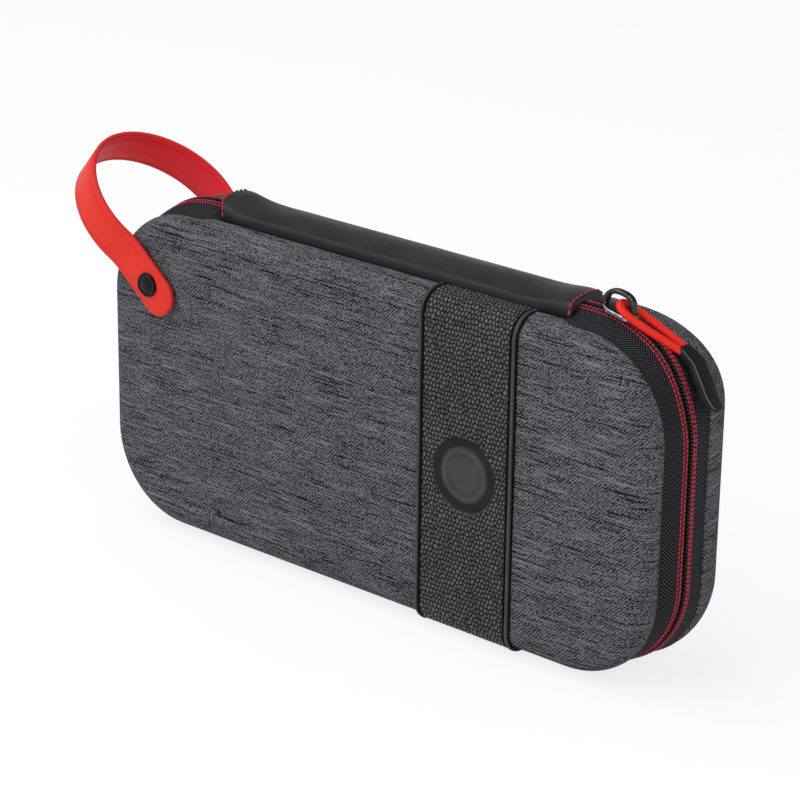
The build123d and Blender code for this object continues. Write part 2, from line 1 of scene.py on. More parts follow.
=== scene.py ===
import bmesh
import bpy
import json
from math import cos, exp, floor, hypot, pi, radians, sin, sqrt
from mathutils import Matrix, Vector, noise
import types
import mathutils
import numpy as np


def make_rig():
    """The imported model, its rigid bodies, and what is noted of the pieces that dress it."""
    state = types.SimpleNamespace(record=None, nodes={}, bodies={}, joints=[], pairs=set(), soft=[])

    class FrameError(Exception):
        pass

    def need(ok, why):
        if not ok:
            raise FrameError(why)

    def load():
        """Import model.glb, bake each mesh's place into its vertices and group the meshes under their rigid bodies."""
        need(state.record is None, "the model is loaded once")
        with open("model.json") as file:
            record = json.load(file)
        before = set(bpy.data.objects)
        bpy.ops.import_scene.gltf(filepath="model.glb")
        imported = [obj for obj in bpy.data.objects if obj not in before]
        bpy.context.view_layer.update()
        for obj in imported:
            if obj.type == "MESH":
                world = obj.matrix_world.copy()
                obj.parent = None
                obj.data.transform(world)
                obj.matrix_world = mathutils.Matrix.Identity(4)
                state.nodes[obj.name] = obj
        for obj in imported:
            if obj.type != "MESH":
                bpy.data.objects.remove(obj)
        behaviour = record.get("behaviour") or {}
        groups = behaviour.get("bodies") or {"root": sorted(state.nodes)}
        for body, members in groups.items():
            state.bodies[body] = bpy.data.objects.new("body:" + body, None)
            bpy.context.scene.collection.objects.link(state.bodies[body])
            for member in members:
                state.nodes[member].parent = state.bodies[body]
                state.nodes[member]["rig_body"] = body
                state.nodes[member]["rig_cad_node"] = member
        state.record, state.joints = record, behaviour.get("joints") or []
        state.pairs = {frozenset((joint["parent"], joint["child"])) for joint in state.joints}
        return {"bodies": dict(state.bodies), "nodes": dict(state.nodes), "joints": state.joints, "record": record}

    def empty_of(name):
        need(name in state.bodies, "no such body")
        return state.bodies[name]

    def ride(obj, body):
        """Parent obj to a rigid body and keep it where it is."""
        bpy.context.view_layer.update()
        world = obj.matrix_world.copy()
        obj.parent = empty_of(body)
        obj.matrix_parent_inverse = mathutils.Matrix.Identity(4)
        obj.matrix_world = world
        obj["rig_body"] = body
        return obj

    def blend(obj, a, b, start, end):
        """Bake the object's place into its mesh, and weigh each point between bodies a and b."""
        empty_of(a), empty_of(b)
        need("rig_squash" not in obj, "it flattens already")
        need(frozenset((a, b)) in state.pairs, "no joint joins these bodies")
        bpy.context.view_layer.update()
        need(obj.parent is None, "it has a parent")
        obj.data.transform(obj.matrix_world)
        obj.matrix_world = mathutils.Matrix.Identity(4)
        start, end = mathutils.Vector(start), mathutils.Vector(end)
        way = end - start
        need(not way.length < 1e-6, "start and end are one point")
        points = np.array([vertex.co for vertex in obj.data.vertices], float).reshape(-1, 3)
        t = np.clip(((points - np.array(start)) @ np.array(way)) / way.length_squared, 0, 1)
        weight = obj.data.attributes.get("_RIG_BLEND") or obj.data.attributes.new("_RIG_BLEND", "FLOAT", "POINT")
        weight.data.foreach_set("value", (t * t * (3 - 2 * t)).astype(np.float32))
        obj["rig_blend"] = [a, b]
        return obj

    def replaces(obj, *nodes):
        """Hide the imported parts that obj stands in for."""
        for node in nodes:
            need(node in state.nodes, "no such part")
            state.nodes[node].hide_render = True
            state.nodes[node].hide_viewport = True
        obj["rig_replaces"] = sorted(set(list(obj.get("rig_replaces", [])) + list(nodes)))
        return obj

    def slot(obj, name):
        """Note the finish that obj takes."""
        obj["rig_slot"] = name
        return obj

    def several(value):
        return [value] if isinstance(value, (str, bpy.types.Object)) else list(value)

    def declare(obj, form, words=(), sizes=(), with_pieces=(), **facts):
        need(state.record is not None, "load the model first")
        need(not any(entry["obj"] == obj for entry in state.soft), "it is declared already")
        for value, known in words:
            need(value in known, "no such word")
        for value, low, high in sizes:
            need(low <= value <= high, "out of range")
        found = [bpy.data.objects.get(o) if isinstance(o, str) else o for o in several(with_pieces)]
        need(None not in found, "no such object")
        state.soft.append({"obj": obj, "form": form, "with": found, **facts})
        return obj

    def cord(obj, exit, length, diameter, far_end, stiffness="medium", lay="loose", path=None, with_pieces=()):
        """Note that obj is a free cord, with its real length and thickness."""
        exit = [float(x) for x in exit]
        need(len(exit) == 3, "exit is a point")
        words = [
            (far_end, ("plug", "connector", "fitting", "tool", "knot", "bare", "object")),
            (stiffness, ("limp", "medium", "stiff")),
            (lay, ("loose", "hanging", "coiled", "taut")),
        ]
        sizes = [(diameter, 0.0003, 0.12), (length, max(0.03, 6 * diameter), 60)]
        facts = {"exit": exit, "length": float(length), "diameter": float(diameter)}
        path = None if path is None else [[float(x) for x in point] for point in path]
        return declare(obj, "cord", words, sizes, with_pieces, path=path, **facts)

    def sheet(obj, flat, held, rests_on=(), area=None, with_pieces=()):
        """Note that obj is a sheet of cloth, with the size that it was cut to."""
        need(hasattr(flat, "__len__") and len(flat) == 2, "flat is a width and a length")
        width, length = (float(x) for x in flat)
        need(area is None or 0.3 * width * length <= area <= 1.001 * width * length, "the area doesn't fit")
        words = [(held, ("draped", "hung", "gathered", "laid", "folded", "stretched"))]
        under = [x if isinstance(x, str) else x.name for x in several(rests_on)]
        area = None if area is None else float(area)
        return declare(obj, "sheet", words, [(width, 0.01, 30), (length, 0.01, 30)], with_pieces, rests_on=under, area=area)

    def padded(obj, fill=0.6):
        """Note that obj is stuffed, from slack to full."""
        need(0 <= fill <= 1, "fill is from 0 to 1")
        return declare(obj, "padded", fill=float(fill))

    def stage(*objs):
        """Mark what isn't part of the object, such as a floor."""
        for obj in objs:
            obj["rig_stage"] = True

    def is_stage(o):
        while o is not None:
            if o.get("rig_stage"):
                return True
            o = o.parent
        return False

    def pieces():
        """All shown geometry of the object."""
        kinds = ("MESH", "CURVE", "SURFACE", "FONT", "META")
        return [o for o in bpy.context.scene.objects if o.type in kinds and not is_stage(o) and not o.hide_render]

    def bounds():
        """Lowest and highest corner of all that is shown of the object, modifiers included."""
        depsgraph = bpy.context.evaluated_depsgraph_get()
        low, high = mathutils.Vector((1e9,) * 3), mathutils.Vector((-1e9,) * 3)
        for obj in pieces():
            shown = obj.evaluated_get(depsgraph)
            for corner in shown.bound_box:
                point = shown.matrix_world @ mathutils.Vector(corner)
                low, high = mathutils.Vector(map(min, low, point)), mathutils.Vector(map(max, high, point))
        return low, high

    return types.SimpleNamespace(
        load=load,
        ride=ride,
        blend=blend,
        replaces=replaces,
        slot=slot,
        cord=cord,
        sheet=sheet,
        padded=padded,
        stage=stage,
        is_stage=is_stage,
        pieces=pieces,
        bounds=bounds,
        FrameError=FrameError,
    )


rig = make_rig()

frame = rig.load()
cad_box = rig.bounds()
scene = bpy.context.scene
scene.view_settings.view_transform = "Standard"

# Sizes of the case in millimetres. The rear shell's rim, edge and upper corners follow the photograph a
# little more closely than the part's source does.
MM = 0.001
LENGTH, HEIGHT, MIDDLE_Z = 270.0, 132.0, 66.0
ZIP_Y, ZIP_GAP, ZIP_CORNER = -15.0, 1.4, 40.0
FRONT_RIM, FRONT_FACE, REAR_RIM, REAR_FACE = -26.5, -35.0, -1.8, 19.0
FRONT_INSET, SHELL_CORNER, SHELL_WALL = 1.6, 36.0, 4.0
FRONT_EDGE, REAR_EDGE = 8.0, 18.5
REAR_TOP = (42.0, 32.0)
TAPE_DROP, TAPE_THICK = 0.8, 1.2
SPINE_HALF, SPINE_FRONT = 87.0, -23.5
BAND_X, BAND_WIDTH, BAND_THICK = 51.75, 45.0, 1.2
SNAP_X, SNAP_Z = -107.9, 102.7


def mm(x, y, z):
    """Point given in millimetres."""
    return Vector((x, y, z)) * MM


def mix(a, b, t):
    return a + (b - a) * t


def smooth(t):
    """Soft step from 0 to 1."""
    t = min(max(t, 0.0), 1.0)
    return t * t * (3 - 2 * t)


def swell(value, start, rise, stop, fall):
    """Soft rise from 0 to 1 at start and soft fall at stop."""
    return smooth((value - start) / rise) * (1 - smooth((value - stop) / fall))


def bell(value, centre, width):
    """Bell curve with a height of 1."""
    return exp(-(((value - centre) / width) ** 2))


def signed_power(value, power):
    """Power of a value's size, with the value's sign."""
    size = abs(value) ** power if abs(value) > 1e-9 else 0.0
    return size if value >= 0 else -size


def squared_ring(count, power=1.0):
    """Points round a circle of radius 1, squared off by a power below 1."""
    turns = [2 * pi * k / count for k in range(count)]
    return [(signed_power(cos(t), power), signed_power(sin(t), power)) for t in turns]


# Node helpers
FLOAT, VECTOR = "NodeSocketFloat", "NodeSocketVector"


class Nodes:
    """Node tree with short ways to add to it; an input is a value or a socket to link."""

    def __init__(self, tree):
        self.tree = tree

    def add(self, kind, inputs=None, **settings):
        """New node's outputs."""
        made = self.tree.nodes.new(kind)
        for key, value in settings.items():
            setattr(made, key, value)
        for key, value in (inputs or {}).items():
            if isinstance(value, bpy.types.NodeSocket):
                self.tree.links.new(value, made.inputs[key])
            else:
                made.inputs[key].default_value = value
        return made.outputs

    def group(self, group, inputs):
        return self.add("ShaderNodeGroup", inputs, node_tree=group)

    def calc(self, operation, a, b=0.0, c=0.0):
        """Math node's result."""
        return self.add("ShaderNodeMath", {0: a, 1: b, 2: c}, operation=operation)[0]

    def total(self, *parts, start=0.0):
        """Sum of values, each times its share."""
        for value, share in parts:
            start = self.calc("MULTIPLY_ADD", value, share, start)
        return start

    def wave(self, value, pitch):
        """Sine along a length with a given pitch."""
        return self.calc("SINE", self.calc("MULTIPLY", value, 2 * pi / pitch))

    def spread(self, value, low, high, to_low=0.0, to_high=1.0):
        """Value stretched from one range to another and kept inside it."""
        inputs = {"Value": value, "From Min": low, "From Max": high, "To Min": to_low, "To Max": to_high}
        return self.add("ShaderNodeMapRange", inputs)[0]

    def blend(self, factor, low, high):
        """One colour turning into another."""
        colours = [c if isinstance(c, bpy.types.NodeSocket) else (*c, 1.0) for c in (low, high)]
        return self.add("ShaderNodeMix", {0: factor, 6: colours[0], 7: colours[1]}, data_type="RGBA")[2]

    def split(self, vector):
        return self.add("ShaderNodeSeparateXYZ", {0: vector})

    def vector(self, operation, inputs):
        return self.add("ShaderNodeVectorMath", inputs, operation=operation)[0]

    def noise(self, vector, scale, detail=2.0, roughness=0.5):
        inputs = {"Vector": vector, "Scale": scale, "Detail": detail, "Roughness": roughness}
        return self.add("ShaderNodeTexNoise", inputs)["Fac"]

    def speckle(self, vector, scale, detail=2.0, roughness=0.5):
        """Noise with a scale of its own along each axis, given as 1 / metre."""
        scale = scale if isinstance(scale, tuple) else (scale, scale, scale)
        return self.noise(self.vector("MULTIPLY", {0: vector, 1: scale}), 1.0, detail, roughness)


class Finish(Nodes):
    """New material; plain values go on the shader's own sockets."""

    def __init__(self, name, **sockets):
        self.made = bpy.data.materials.new(name)
        self.made.use_nodes = True
        super().__init__(self.made.node_tree)
        self.shader = self.tree.nodes["Principled BSDF"]
        for key, value in sockets.items():
            self.shader.inputs[key.replace("_", " ")].default_value = value

    def feed(self, socket, value):
        self.tree.links.new(value, self.shader.inputs[socket])

    def colour(self, factor, low, high):
        self.feed("Base Color", self.blend(factor, low, high))

    def rough(self, tone, low, high):
        """Roughness that follows the middle part of a tone."""
        self.feed("Roughness", self.spread(tone, 0.3, 0.7, low, high))

    def bump(self, height, distance, strength):
        """Height into the shader's normal."""
        inputs = {"Height": height, "Distance": distance, "Strength": strength}
        self.feed("Normal", self.add("ShaderNodeBump", inputs)[0])

    def place(self):
        return self.add("ShaderNodeTexCoord")["Object"]

    def cloth(self):
        """Piece's own map, in metres along the cloth."""
        return self.add("ShaderNodeUVMap", uv_map="cloth")[0]

    def mark(self, name):
        """Value stored at the mesh's points."""
        return self.add("ShaderNodeAttribute", attribute_name=name)["Fac"]


def tinted(shade, factor):
    return tuple(c * factor for c in shade)


# Shared effects
def new_group(name, inputs, outputs):
    """Shader node group with named sockets; returns its nodes, what it is given and its end's sockets."""
    tree = bpy.data.node_groups.new(name, "ShaderNodeTree")
    for label in inputs:
        kind = VECTOR if label == "Vector" else FLOAT
        tree.interface.new_socket(label, in_out="INPUT", socket_type=kind)
    for label in outputs:
        tree.interface.new_socket(label, in_out="OUTPUT", socket_type=FLOAT)
    given = tree.nodes.new("NodeGroupInput").outputs
    return Nodes(tree), given, tree.nodes.new("NodeGroupOutput").inputs


def end_group(nodes, end, results):
    for label, value in results.items():
        nodes.tree.links.new(value, end[label])
    return nodes.tree


def build_weave():
    """Threads of a woven cloth: their height, a random tone for each crossing and the slubs."""
    labels = ("Vector", "Warp", "Weft", "Slub Length", "Slub Width")
    nodes, given, end = new_group("woven threads", labels, ("Height", "Fleck", "Slub"))
    calc = nodes.calc
    x, y, _ = nodes.split(given["Vector"])
    across = calc("DIVIDE", x, given["Warp"])
    along = calc("DIVIDE", y, given["Weft"])
    crossing = calc("ABSOLUTE", calc("MULTIPLY", nodes.wave(across, 2), nodes.wave(along, 2)))
    pair = calc("FLOOR", calc("MULTIPLY", across, 0.5))
    cell = nodes.add("ShaderNodeCombineXYZ", {0: pair, 1: calc("FLOOR", along)})[0]
    thread = calc("FLOOR", calc("DIVIDE", y, given["Slub Width"]))
    start = nodes.add("ShaderNodeTexWhiteNoise", {"W": thread}, noise_dimensions="1D")["Value"]
    slub_x = calc("MULTIPLY_ADD", start, 90.0, calc("DIVIDE", x, given["Slub Length"]))
    streak = nodes.add("ShaderNodeCombineXYZ", {0: slub_x, 1: calc("MULTIPLY", thread, 3.7)})[0]
    fleck = nodes.add("ShaderNodeTexWhiteNoise", {"Vector": cell}, noise_dimensions="2D")["Value"]
    height = calc("POWER", crossing, 0.6)
    return end_group(nodes, end, {"Height": height, "Fleck": fleck, "Slub": nodes.noise(streak, 1.0, 1.5)})


def build_grain():
    """Leather grain: rounded cells with creases between them, and a slow change of tone."""
    nodes, given, end = new_group("hide grain", ("Vector", "Cell", "Crease"), ("Height", "Tone"))
    spot = given["Vector"]
    size = nodes.calc("DIVIDE", 1.0, given["Cell"])
    inputs = {"Vector": spot, "Scale": size}
    cells = nodes.add("ShaderNodeTexVoronoi", inputs, feature="DISTANCE_TO_EDGE")["Distance"]
    pores = nodes.noise(spot, nodes.calc("MULTIPLY", size, 2.3))
    height = nodes.calc("MULTIPLY_ADD", pores, 0.35, nodes.spread(cells, 0.0, given["Crease"]))
    tone = nodes.noise(spot, nodes.calc("MULTIPLY", size, 0.06), 3.0)
    return end_group(nodes, end, {"Height": height, "Tone": tone})


def build_wear():
    """Rubbed edges: the mesh's own edge mask broken up by fine scratches."""
    nodes, given, end = new_group("rubbed edges", ("Vector", "Edge", "Amount"), ("Mask", "Smudge"))
    chips = nodes.noise(given["Vector"], 1400.0, 4.0)
    edge = nodes.calc("MULTIPLY", given["Edge"], given["Amount"])
    mask = nodes.spread(nodes.calc("MULTIPLY_ADD", chips, 0.7, edge), 0.62, 0.9)
    return end_group(nodes, end, {"Mask": mask, "Smudge": nodes.noise(given["Vector"], 160.0, 3.0)})


WEAVE, GRAIN, WEAR = build_weave(), build_grain(), build_wear()


# Finishes; lengths in them are in metres
TWILL_PITCH, RIB_PITCH, BRAID_PITCH = 0.0015, 0.0014, 0.00118
HERRINGBONE_COLUMN, NET_CELL, NET_STRAND = 0.005, 0.0012, 0.0003
# Heights over which the spine's colour turns from painted shade on its front face to painted light on its top.
SPINE_PAINTED_LIGHT_FROM, SPINE_PAINTED_LIGHT_TO = 0.1328, 0.1362


def make_canvas():
    """Heathered grey canvas: slanted twill lines broken into flecks, with slubs along the case."""
    canvas = Finish("heathered canvas", Roughness=0.9, Specular_IOR_Level=0.08)
    cloth = canvas.cloth()
    sizes = {"Warp": 0.0005, "Weft": 0.0005, "Slub Length": 0.02, "Slub Width": 0.0004}
    threads = canvas.group(WEAVE, {"Vector": cloth, **sizes})
    x, y, _ = canvas.split(cloth)
    fine = canvas.spread(canvas.speckle(cloth, (1150.0, 1900.0, 1.0), 1.5, 0.6), 0.34, 0.66)
    broad = canvas.speckle(cloth, (55.0, 140.0, 1.0))
    wander = canvas.calc("MULTIPLY", canvas.speckle(cloth, (260.0, 260.0, 1.0), 1.0), 3.2)
    slant = canvas.calc("MULTIPLY_ADD", canvas.calc("SUBTRACT", x, y), 2 * pi / TWILL_PITCH, wander)
    twill = canvas.calc("MULTIPLY_ADD", canvas.calc("SINE", slant), 0.5, 0.5)
    pale = canvas.spread(threads["Slub"], 0.58, 0.7)
    dark = canvas.spread(threads["Slub"], 0.3, 0.39, -1.0, 0.0)
    weave = ((twill, 0.24), (fine, 0.5), (threads["Fleck"], 0.26))
    tone = canvas.total(*weave, (pale, 0.4), (dark, 0.5), (broad, 0.16), start=-0.08)
    share = canvas.spread(tone, 0.25, 0.8)
    canvas.colour(share, (0.0025, 0.0025, 0.003), (0.158, 0.156, 0.172))
    canvas.bump(canvas.total((share, 1.2), (threads["Height"], 0.5)), 0.00014, 0.7)
    return canvas.made


def make_felt(name, shade):
    """Short brushed pile."""
    felt = Finish(name, Roughness=0.95, Specular_IOR_Level=0.08, Sheen_Weight=0.05)
    spot = felt.place()
    pile = felt.speckle(spot, 2600.0, 3.0, 0.65)
    brushed = felt.speckle(spot, (45.0, 45.0, 90.0), 3.0)
    tone = felt.spread(felt.total((pile, 0.85), (brushed, 0.25)), 0.35, 0.75)
    felt.colour(tone, tinted(shade, 0.55), tinted(shade, 1.5))
    felt.bump(pile, 0.0002, 0.7)
    return felt.made


def make_spine_leather():
    """Smooth soft leather with a fine grain and a satin face; its colour is darker on the front face as painted shade
    and paler on top as painted light.
    """
    leather = Finish("smooth spine leather", Specular_IOR_Level=0.16)
    spot = leather.place()
    grain = leather.group(GRAIN, {"Vector": spot, "Cell": 0.0007, "Crease": 0.22})
    # Painted light and shade: nearly black low on the spine's front face, paler on its top, where the grain's tone
    # also shows.
    top = leather.spread(leather.split(spot)[2], SPINE_PAINTED_LIGHT_FROM, SPINE_PAINTED_LIGHT_TO)
    top_light_and_grain = leather.calc("MULTIPLY", top, leather.spread(grain["Tone"], 0.3, 0.7, 0.7, 1.1))
    leather.colour(top_light_and_grain, (0.003, 0.003, 0.003), (0.026, 0.025, 0.0262))
    leather.rough(grain["Tone"], 0.36, 0.46)
    leather.bump(grain["Height"], 0.00003, 0.6)
    return leather.made


def make_band_leather():
    """Pebbled leather: the pebbles are in the mesh, their tone, their shine and the fine pores are here; the stored
    tone is dark in the creases and grooves as painted shade.
    """
    leather = Finish("pebbled leather", Specular_IOR_Level=0.06, Coat_Roughness=0.34)
    grain = leather.group(GRAIN, {"Vector": leather.place(), "Cell": 0.0005, "Crease": 0.2})
    pebble_tone_with_crease_shade = leather.mark("pebble_tone_with_crease_shade")
    # Painted shade: the pebble tone is darkest in the creases between pebbles and in the grooves.
    surface_marks = leather.calc("MULTIPLY", pebble_tone_with_crease_shade, leather.spread(grain["Tone"], 0.3, 0.7, 0.75, 1.1))
    leather.colour(surface_marks, (0.002, 0.002, 0.0023), (0.088, 0.086, 0.095))
    leather.feed("Roughness", leather.spread(pebble_tone_with_crease_shade, 0.0, 1.0, 0.8, 0.5))
    shine = leather.calc("POWER", pebble_tone_with_crease_shade, 2.0)
    leather.feed("Coat Weight", leather.calc("MULTIPLY", shine, 0.7))
    leather.bump(leather.calc("MULTIPLY_ADD", grain["Height"], 0.1, pebble_tone_with_crease_shade), 0.00035, 0.8)
    return leather.made


def make_speckled(name, scale, colours, rough, bump=None, **sockets):
    """Plain finish with one speckle for its colour, its roughness and its bump."""
    finish = Finish(name, **sockets)
    tone = finish.speckle(finish.place(), scale, 3.0)
    finish.colour(tone, *colours)
    finish.rough(tone, *rough)
    if bump:
        finish.bump(tone, *bump)
    return finish.made


def make_herringbone():
    """Black zip tape: slanted ribs that turn round in columns along the tape."""
    tape = Finish("herringbone tape", Roughness=0.8, Specular_IOR_Level=0.08)
    cloth = tape.cloth()
    x, y, _ = tape.split(cloth)
    column = tape.calc("PINGPONG", y, HERRINGBONE_COLUMN)
    ribs = tape.wave(tape.calc("MULTIPLY_ADD", column, -1.1, x), RIB_PITCH)
    wobble = tape.speckle(cloth, (900.0, 900.0, 1.0))
    height = tape.spread(tape.calc("MULTIPLY_ADD", wobble, 1.4, ribs), 0.1, 2.0)
    tape.colour(height, (0.0008, 0.0008, 0.001), (0.054, 0.053, 0.061))
    tape.bump(height, 0.0002, 0.8)
    return tape.made


def make_thread():
    """Red stitching thread with its twist."""
    thread = Finish("red thread", Roughness=0.6, Specular_IOR_Level=0.15)
    fibre = thread.speckle(thread.place(), 5200.0)
    thread.colour(thread.spread(fibre, 0.3, 0.7), (0.2, 0.012, 0.022), (0.52, 0.042, 0.068))
    thread.bump(fibre, 0.0001, 0.6)
    return thread.made


def make_metal(name, coat, bare, amount, gloss, shine=0.5):
    """Coated metal that shows bare along its rubbed edges."""
    metal = Finish(name, Specular_IOR_Level=shine)
    surface_marks = metal.group(WEAR, {"Vector": metal.place(), "Edge": metal.mark("edge"), "Amount": amount})
    metal.colour(surface_marks["Mask"], coat, bare)
    metal.feed("Metallic", surface_marks["Mask"])
    metal.feed("Roughness", metal.spread(surface_marks["Smudge"], 0.25, 0.75, gloss, gloss + 0.16))
    metal.bump(surface_marks["Smudge"], 0.00004, 0.3)
    return metal.made


def make_braid():
    """Red braided cord: crossing strands along and round the cord."""
    braid = Finish("red braid", Roughness=0.55, Specular_IOR_Level=0.15)
    x, y, _ = braid.split(braid.cloth())
    left, right = (braid.wave(braid.calc(way, x, y), BRAID_PITCH) for way in ("ADD", "SUBTRACT"))
    strands = braid.spread(braid.calc("MAXIMUM", left, right), -0.4, 1.0)
    height = braid.calc("MULTIPLY_ADD", braid.speckle(braid.place(), 3000.0), 0.3, strands)
    braid.colour(braid.spread(height, 0.1, 1.1), (0.42, 0.008, 0.006), (0.88, 0.03, 0.016))
    braid.bump(height, 0.00016, 0.7)
    return braid.made


def make_rubber(name, shade):
    """Matt moulded rubber with a fine spark-eroded texture."""
    rubber = Finish(name, Specular_IOR_Level=0.2)
    spot = rubber.place()
    dust = rubber.speckle(spot, 120.0, 3.0)
    rubber.colour(dust, tinted(shade, 0.75), tinted(shade, 1.3))
    rubber.rough(dust, 0.48, 0.62)
    rubber.bump(rubber.speckle(spot, 2400.0), 0.00004, 0.5)
    return rubber.made


def make_strap_leather(name, low, high):
    """Smooth red strap: a satin face, fine grain and darker edges."""
    leather = Finish(name, Specular_IOR_Level=0.16)
    grain = leather.group(GRAIN, {"Vector": leather.place(), "Cell": 0.0006, "Crease": 0.2})
    rim = leather.spread(leather.mark("edge"), 0.15, 0.75)
    leather.colour(rim, leather.blend(grain["Tone"], low, high), (0.36, 0.01, 0.008))
    leather.rough(grain["Tone"], 0.44, 0.55)
    leather.bump(grain["Height"], 0.00003, 0.5)
    return leather.made


def make_ribbon(name, shade):
    """Woven binding or elastic, ribbed across."""
    ribbon = Finish(name, Roughness=0.8, Specular_IOR_Level=0.12)
    sizes = {"Warp": 0.0009, "Weft": 0.0005, "Slub Length": 0.004, "Slub Width": 0.0008}
    threads = ribbon.group(WEAVE, {"Vector": ribbon.cloth(), **sizes})
    tone = ribbon.total((threads["Height"], 0.7), (threads["Fleck"], 0.3))
    ribbon.colour(tone, tinted(shade, 0.5), tinted(shade, 1.6))
    ribbon.bump(threads["Height"], 0.0002, 0.8)
    return ribbon.made


def make_net():
    """Open net: crossing strands with holes between them."""
    net = Finish("pocket net", Roughness=0.7, Specular_IOR_Level=0.3)
    x, y, _ = net.split(net.cloth())
    row = net.calc("MULTIPLY", y, 0.75)
    one, two = (net.calc("PINGPONG", net.calc(way, x, row), NET_CELL) for way in ("ADD", "SUBTRACT"))
    near = net.calc("MINIMUM", one, two)
    net.feed("Alpha", net.spread(near, NET_STRAND, 1.2 * NET_STRAND, 1.0, 0.0))
    tone = net.spread(near, 0.0, NET_STRAND)
    net.colour(tone, (0.035, 0.035, 0.038), (0.012, 0.012, 0.013))
    net.bump(tone, 0.0002, 0.6)
    return net.made


EDGE_PAINT_SHADE_BLACK = (0.001, 0.001, 0.0012), (0.003, 0.003, 0.0034)
NYLON_BLACK = (0.006, 0.006, 0.007), (0.02, 0.02, 0.022)
STEEL_GREY = (0.42, 0.42, 0.43), (0.62, 0.62, 0.63)
TURNING_MARKS = (300.0, 3000.0, 300.0)
CANVAS = make_canvas()
LINING = make_felt("shell lining", (0.022, 0.022, 0.024))
CRADLE = make_felt("cradle felt", (0.03, 0.03, 0.032))
SPINE_LEATHER = make_spine_leather()
BAND_LEATHER = make_band_leather()
# Edge paint made nearly black, partly as painted shade on the band's side walls.
SHADED_EDGE_PAINT = make_speckled(
    "edge paint with painted shade", 500.0, EDGE_PAINT_SHADE_BLACK, (0.5, 0.7), (0.0001, 0.4), Specular_IOR_Level=0.05
)
TAPE_CLOTH = make_herringbone()
THREAD = make_thread()
NYLON = make_speckled("coil nylon", 700.0, NYLON_BLACK, (0.32, 0.5), Specular_IOR_Level=0.45)
SLIDER_METAL = make_metal("black slider metal", (0.004, 0.004, 0.0045), (0.62, 0.62, 0.64), 0.5, 0.26)
# Side faces of the plates: rubbed edges, plus a paler coat that is a painted highlight along the plate's edge.
SLIDER_EDGE_WEAR_AND_HIGHLIGHT = make_metal("slider side faces with wear and painted highlight", (0.05, 0.05, 0.055), (0.62, 0.62, 0.64), 0.9, 0.24)
CAP_ENAMEL = make_metal("black snap enamel", (0.002, 0.002, 0.003), (0.5, 0.5, 0.53), 0.3, 0.05, 0.15)
STEEL = make_speckled(
    "plated steel", TURNING_MARKS, STEEL_GREY, (0.2, 0.38), (0.00003, 0.4), Metallic=1.0
)
BRAID = make_braid()
GRIP_RUBBER = make_rubber("grip rubber", (0.008, 0.008, 0.0085))
# Pale grey rubber for the grip's ridge: a painted highlight along the grip's edge.
RIDGE_HIGHLIGHT_RUBBER = make_rubber("grip ridge with painted highlight", (0.085, 0.085, 0.085))
STRAP_LEATHER = make_strap_leather("red strap leather", (0.56, 0.022, 0.012), (0.66, 0.028, 0.015))
STRAP_BACKING = make_strap_leather("red strap backing", (0.6, 0.013, 0.021), (0.68, 0.017, 0.026))
BINDING = make_ribbon("woven binding", (0.02, 0.02, 0.022))
ELASTIC = make_ribbon("gathered elastic", (0.026, 0.026, 0.028))
NET = make_net()


# Mesh helpers
def close_form(form, name, turn_out=True):
    """Mesh of a finished bmesh, with its faces turned outwards."""
    if turn_out:
        bmesh.ops.recalc_face_normals(form, faces=form.faces)
    mesh = bpy.data.meshes.new(name)
    form.to_mesh(mesh)
    form.free()
    return mesh


def grid(name, rows, maps, wrap=False, finish_at=None):
    """Quads through rows of points with maps; wrap joins each row up and closes the ends."""
    form = bmesh.new()
    layer = form.loops.layers.uv.new("cloth")
    points = [[form.verts.new(p) for p in row] for row in rows]
    width = len(rows[0])

    def add_face(corners, spots, i, j):
        face = form.faces.new(corners)
        face.smooth = True
        if finish_at:
            face.material_index = finish_at(i, j)
        for loop, spot in zip(face.loops, spots):
            loop[layer].uv = spot

    for i in range(len(rows) - 1):
        for j in range(width if wrap else width - 1):
            k = (j + 1) % width
            corners = (points[i][j], points[i + 1][j], points[i + 1][k], points[i][k])
            add_face(corners, (maps[i][j], maps[i + 1][j], maps[i + 1][j + 1], maps[i][j + 1]), i, j)
    if wrap:
        add_face(points[0], maps[0], 0, 0)
        add_face(points[-1], maps[-1], len(rows) - 2, 0)
    return close_form(form, name)


def add_piece(mesh, body, finishes, slot, nodes=()):
    """Object with its finishes, riding on a body in place of the CAD nodes named."""
    obj = bpy.data.objects.new(mesh.name, mesh)
    scene.collection.objects.link(obj)
    if len(mesh.materials):
        mesh.materials.clear()
    for finish in finishes:
        mesh.materials.append(finish)
    if body:
        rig.ride(obj, body)
    if nodes:
        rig.replaces(obj, *nodes)
    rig.slot(obj, slot)
    return obj


def make_tube(name, rows, stations, pitch):
    """Closed mesh through rings of points; its map runs by stations along it and by pitch round it."""
    steps = range(len(rows[0]) + 1)
    return grid(name, rows, [[(s, k * pitch) for k in steps] for s in stations], wrap=True)


def make_sleeve(name, rows, stations, finish_at=None):
    """Closed mesh through rings of points; its map runs by stations along it and by length round it."""
    maps = []
    for row, station in zip(rows, stations):
        around = running_length(row)
        maps.append([(station, a) for a in around + around[-1:]])
    return grid(name, rows, maps, wrap=True, finish_at=finish_at)


def settle(data, *modifiers):
    """Plain mesh left by some mesh or curve and a list of (kind, settings) modifiers."""
    holder = bpy.data.objects.new("holder", data)
    scene.collection.objects.link(holder)
    for kind, settings in modifiers:
        added = holder.modifiers.new(kind.lower(), kind)
        for key, value in settings.items():
            if hasattr(added, key):
                setattr(added, key, value)
            else:
                added[key] = value
    shown = holder.evaluated_get(bpy.context.evaluated_depsgraph_get())
    made = bpy.data.meshes.new_from_object(shown)
    bpy.data.objects.remove(holder)
    made.name = data.name
    return made


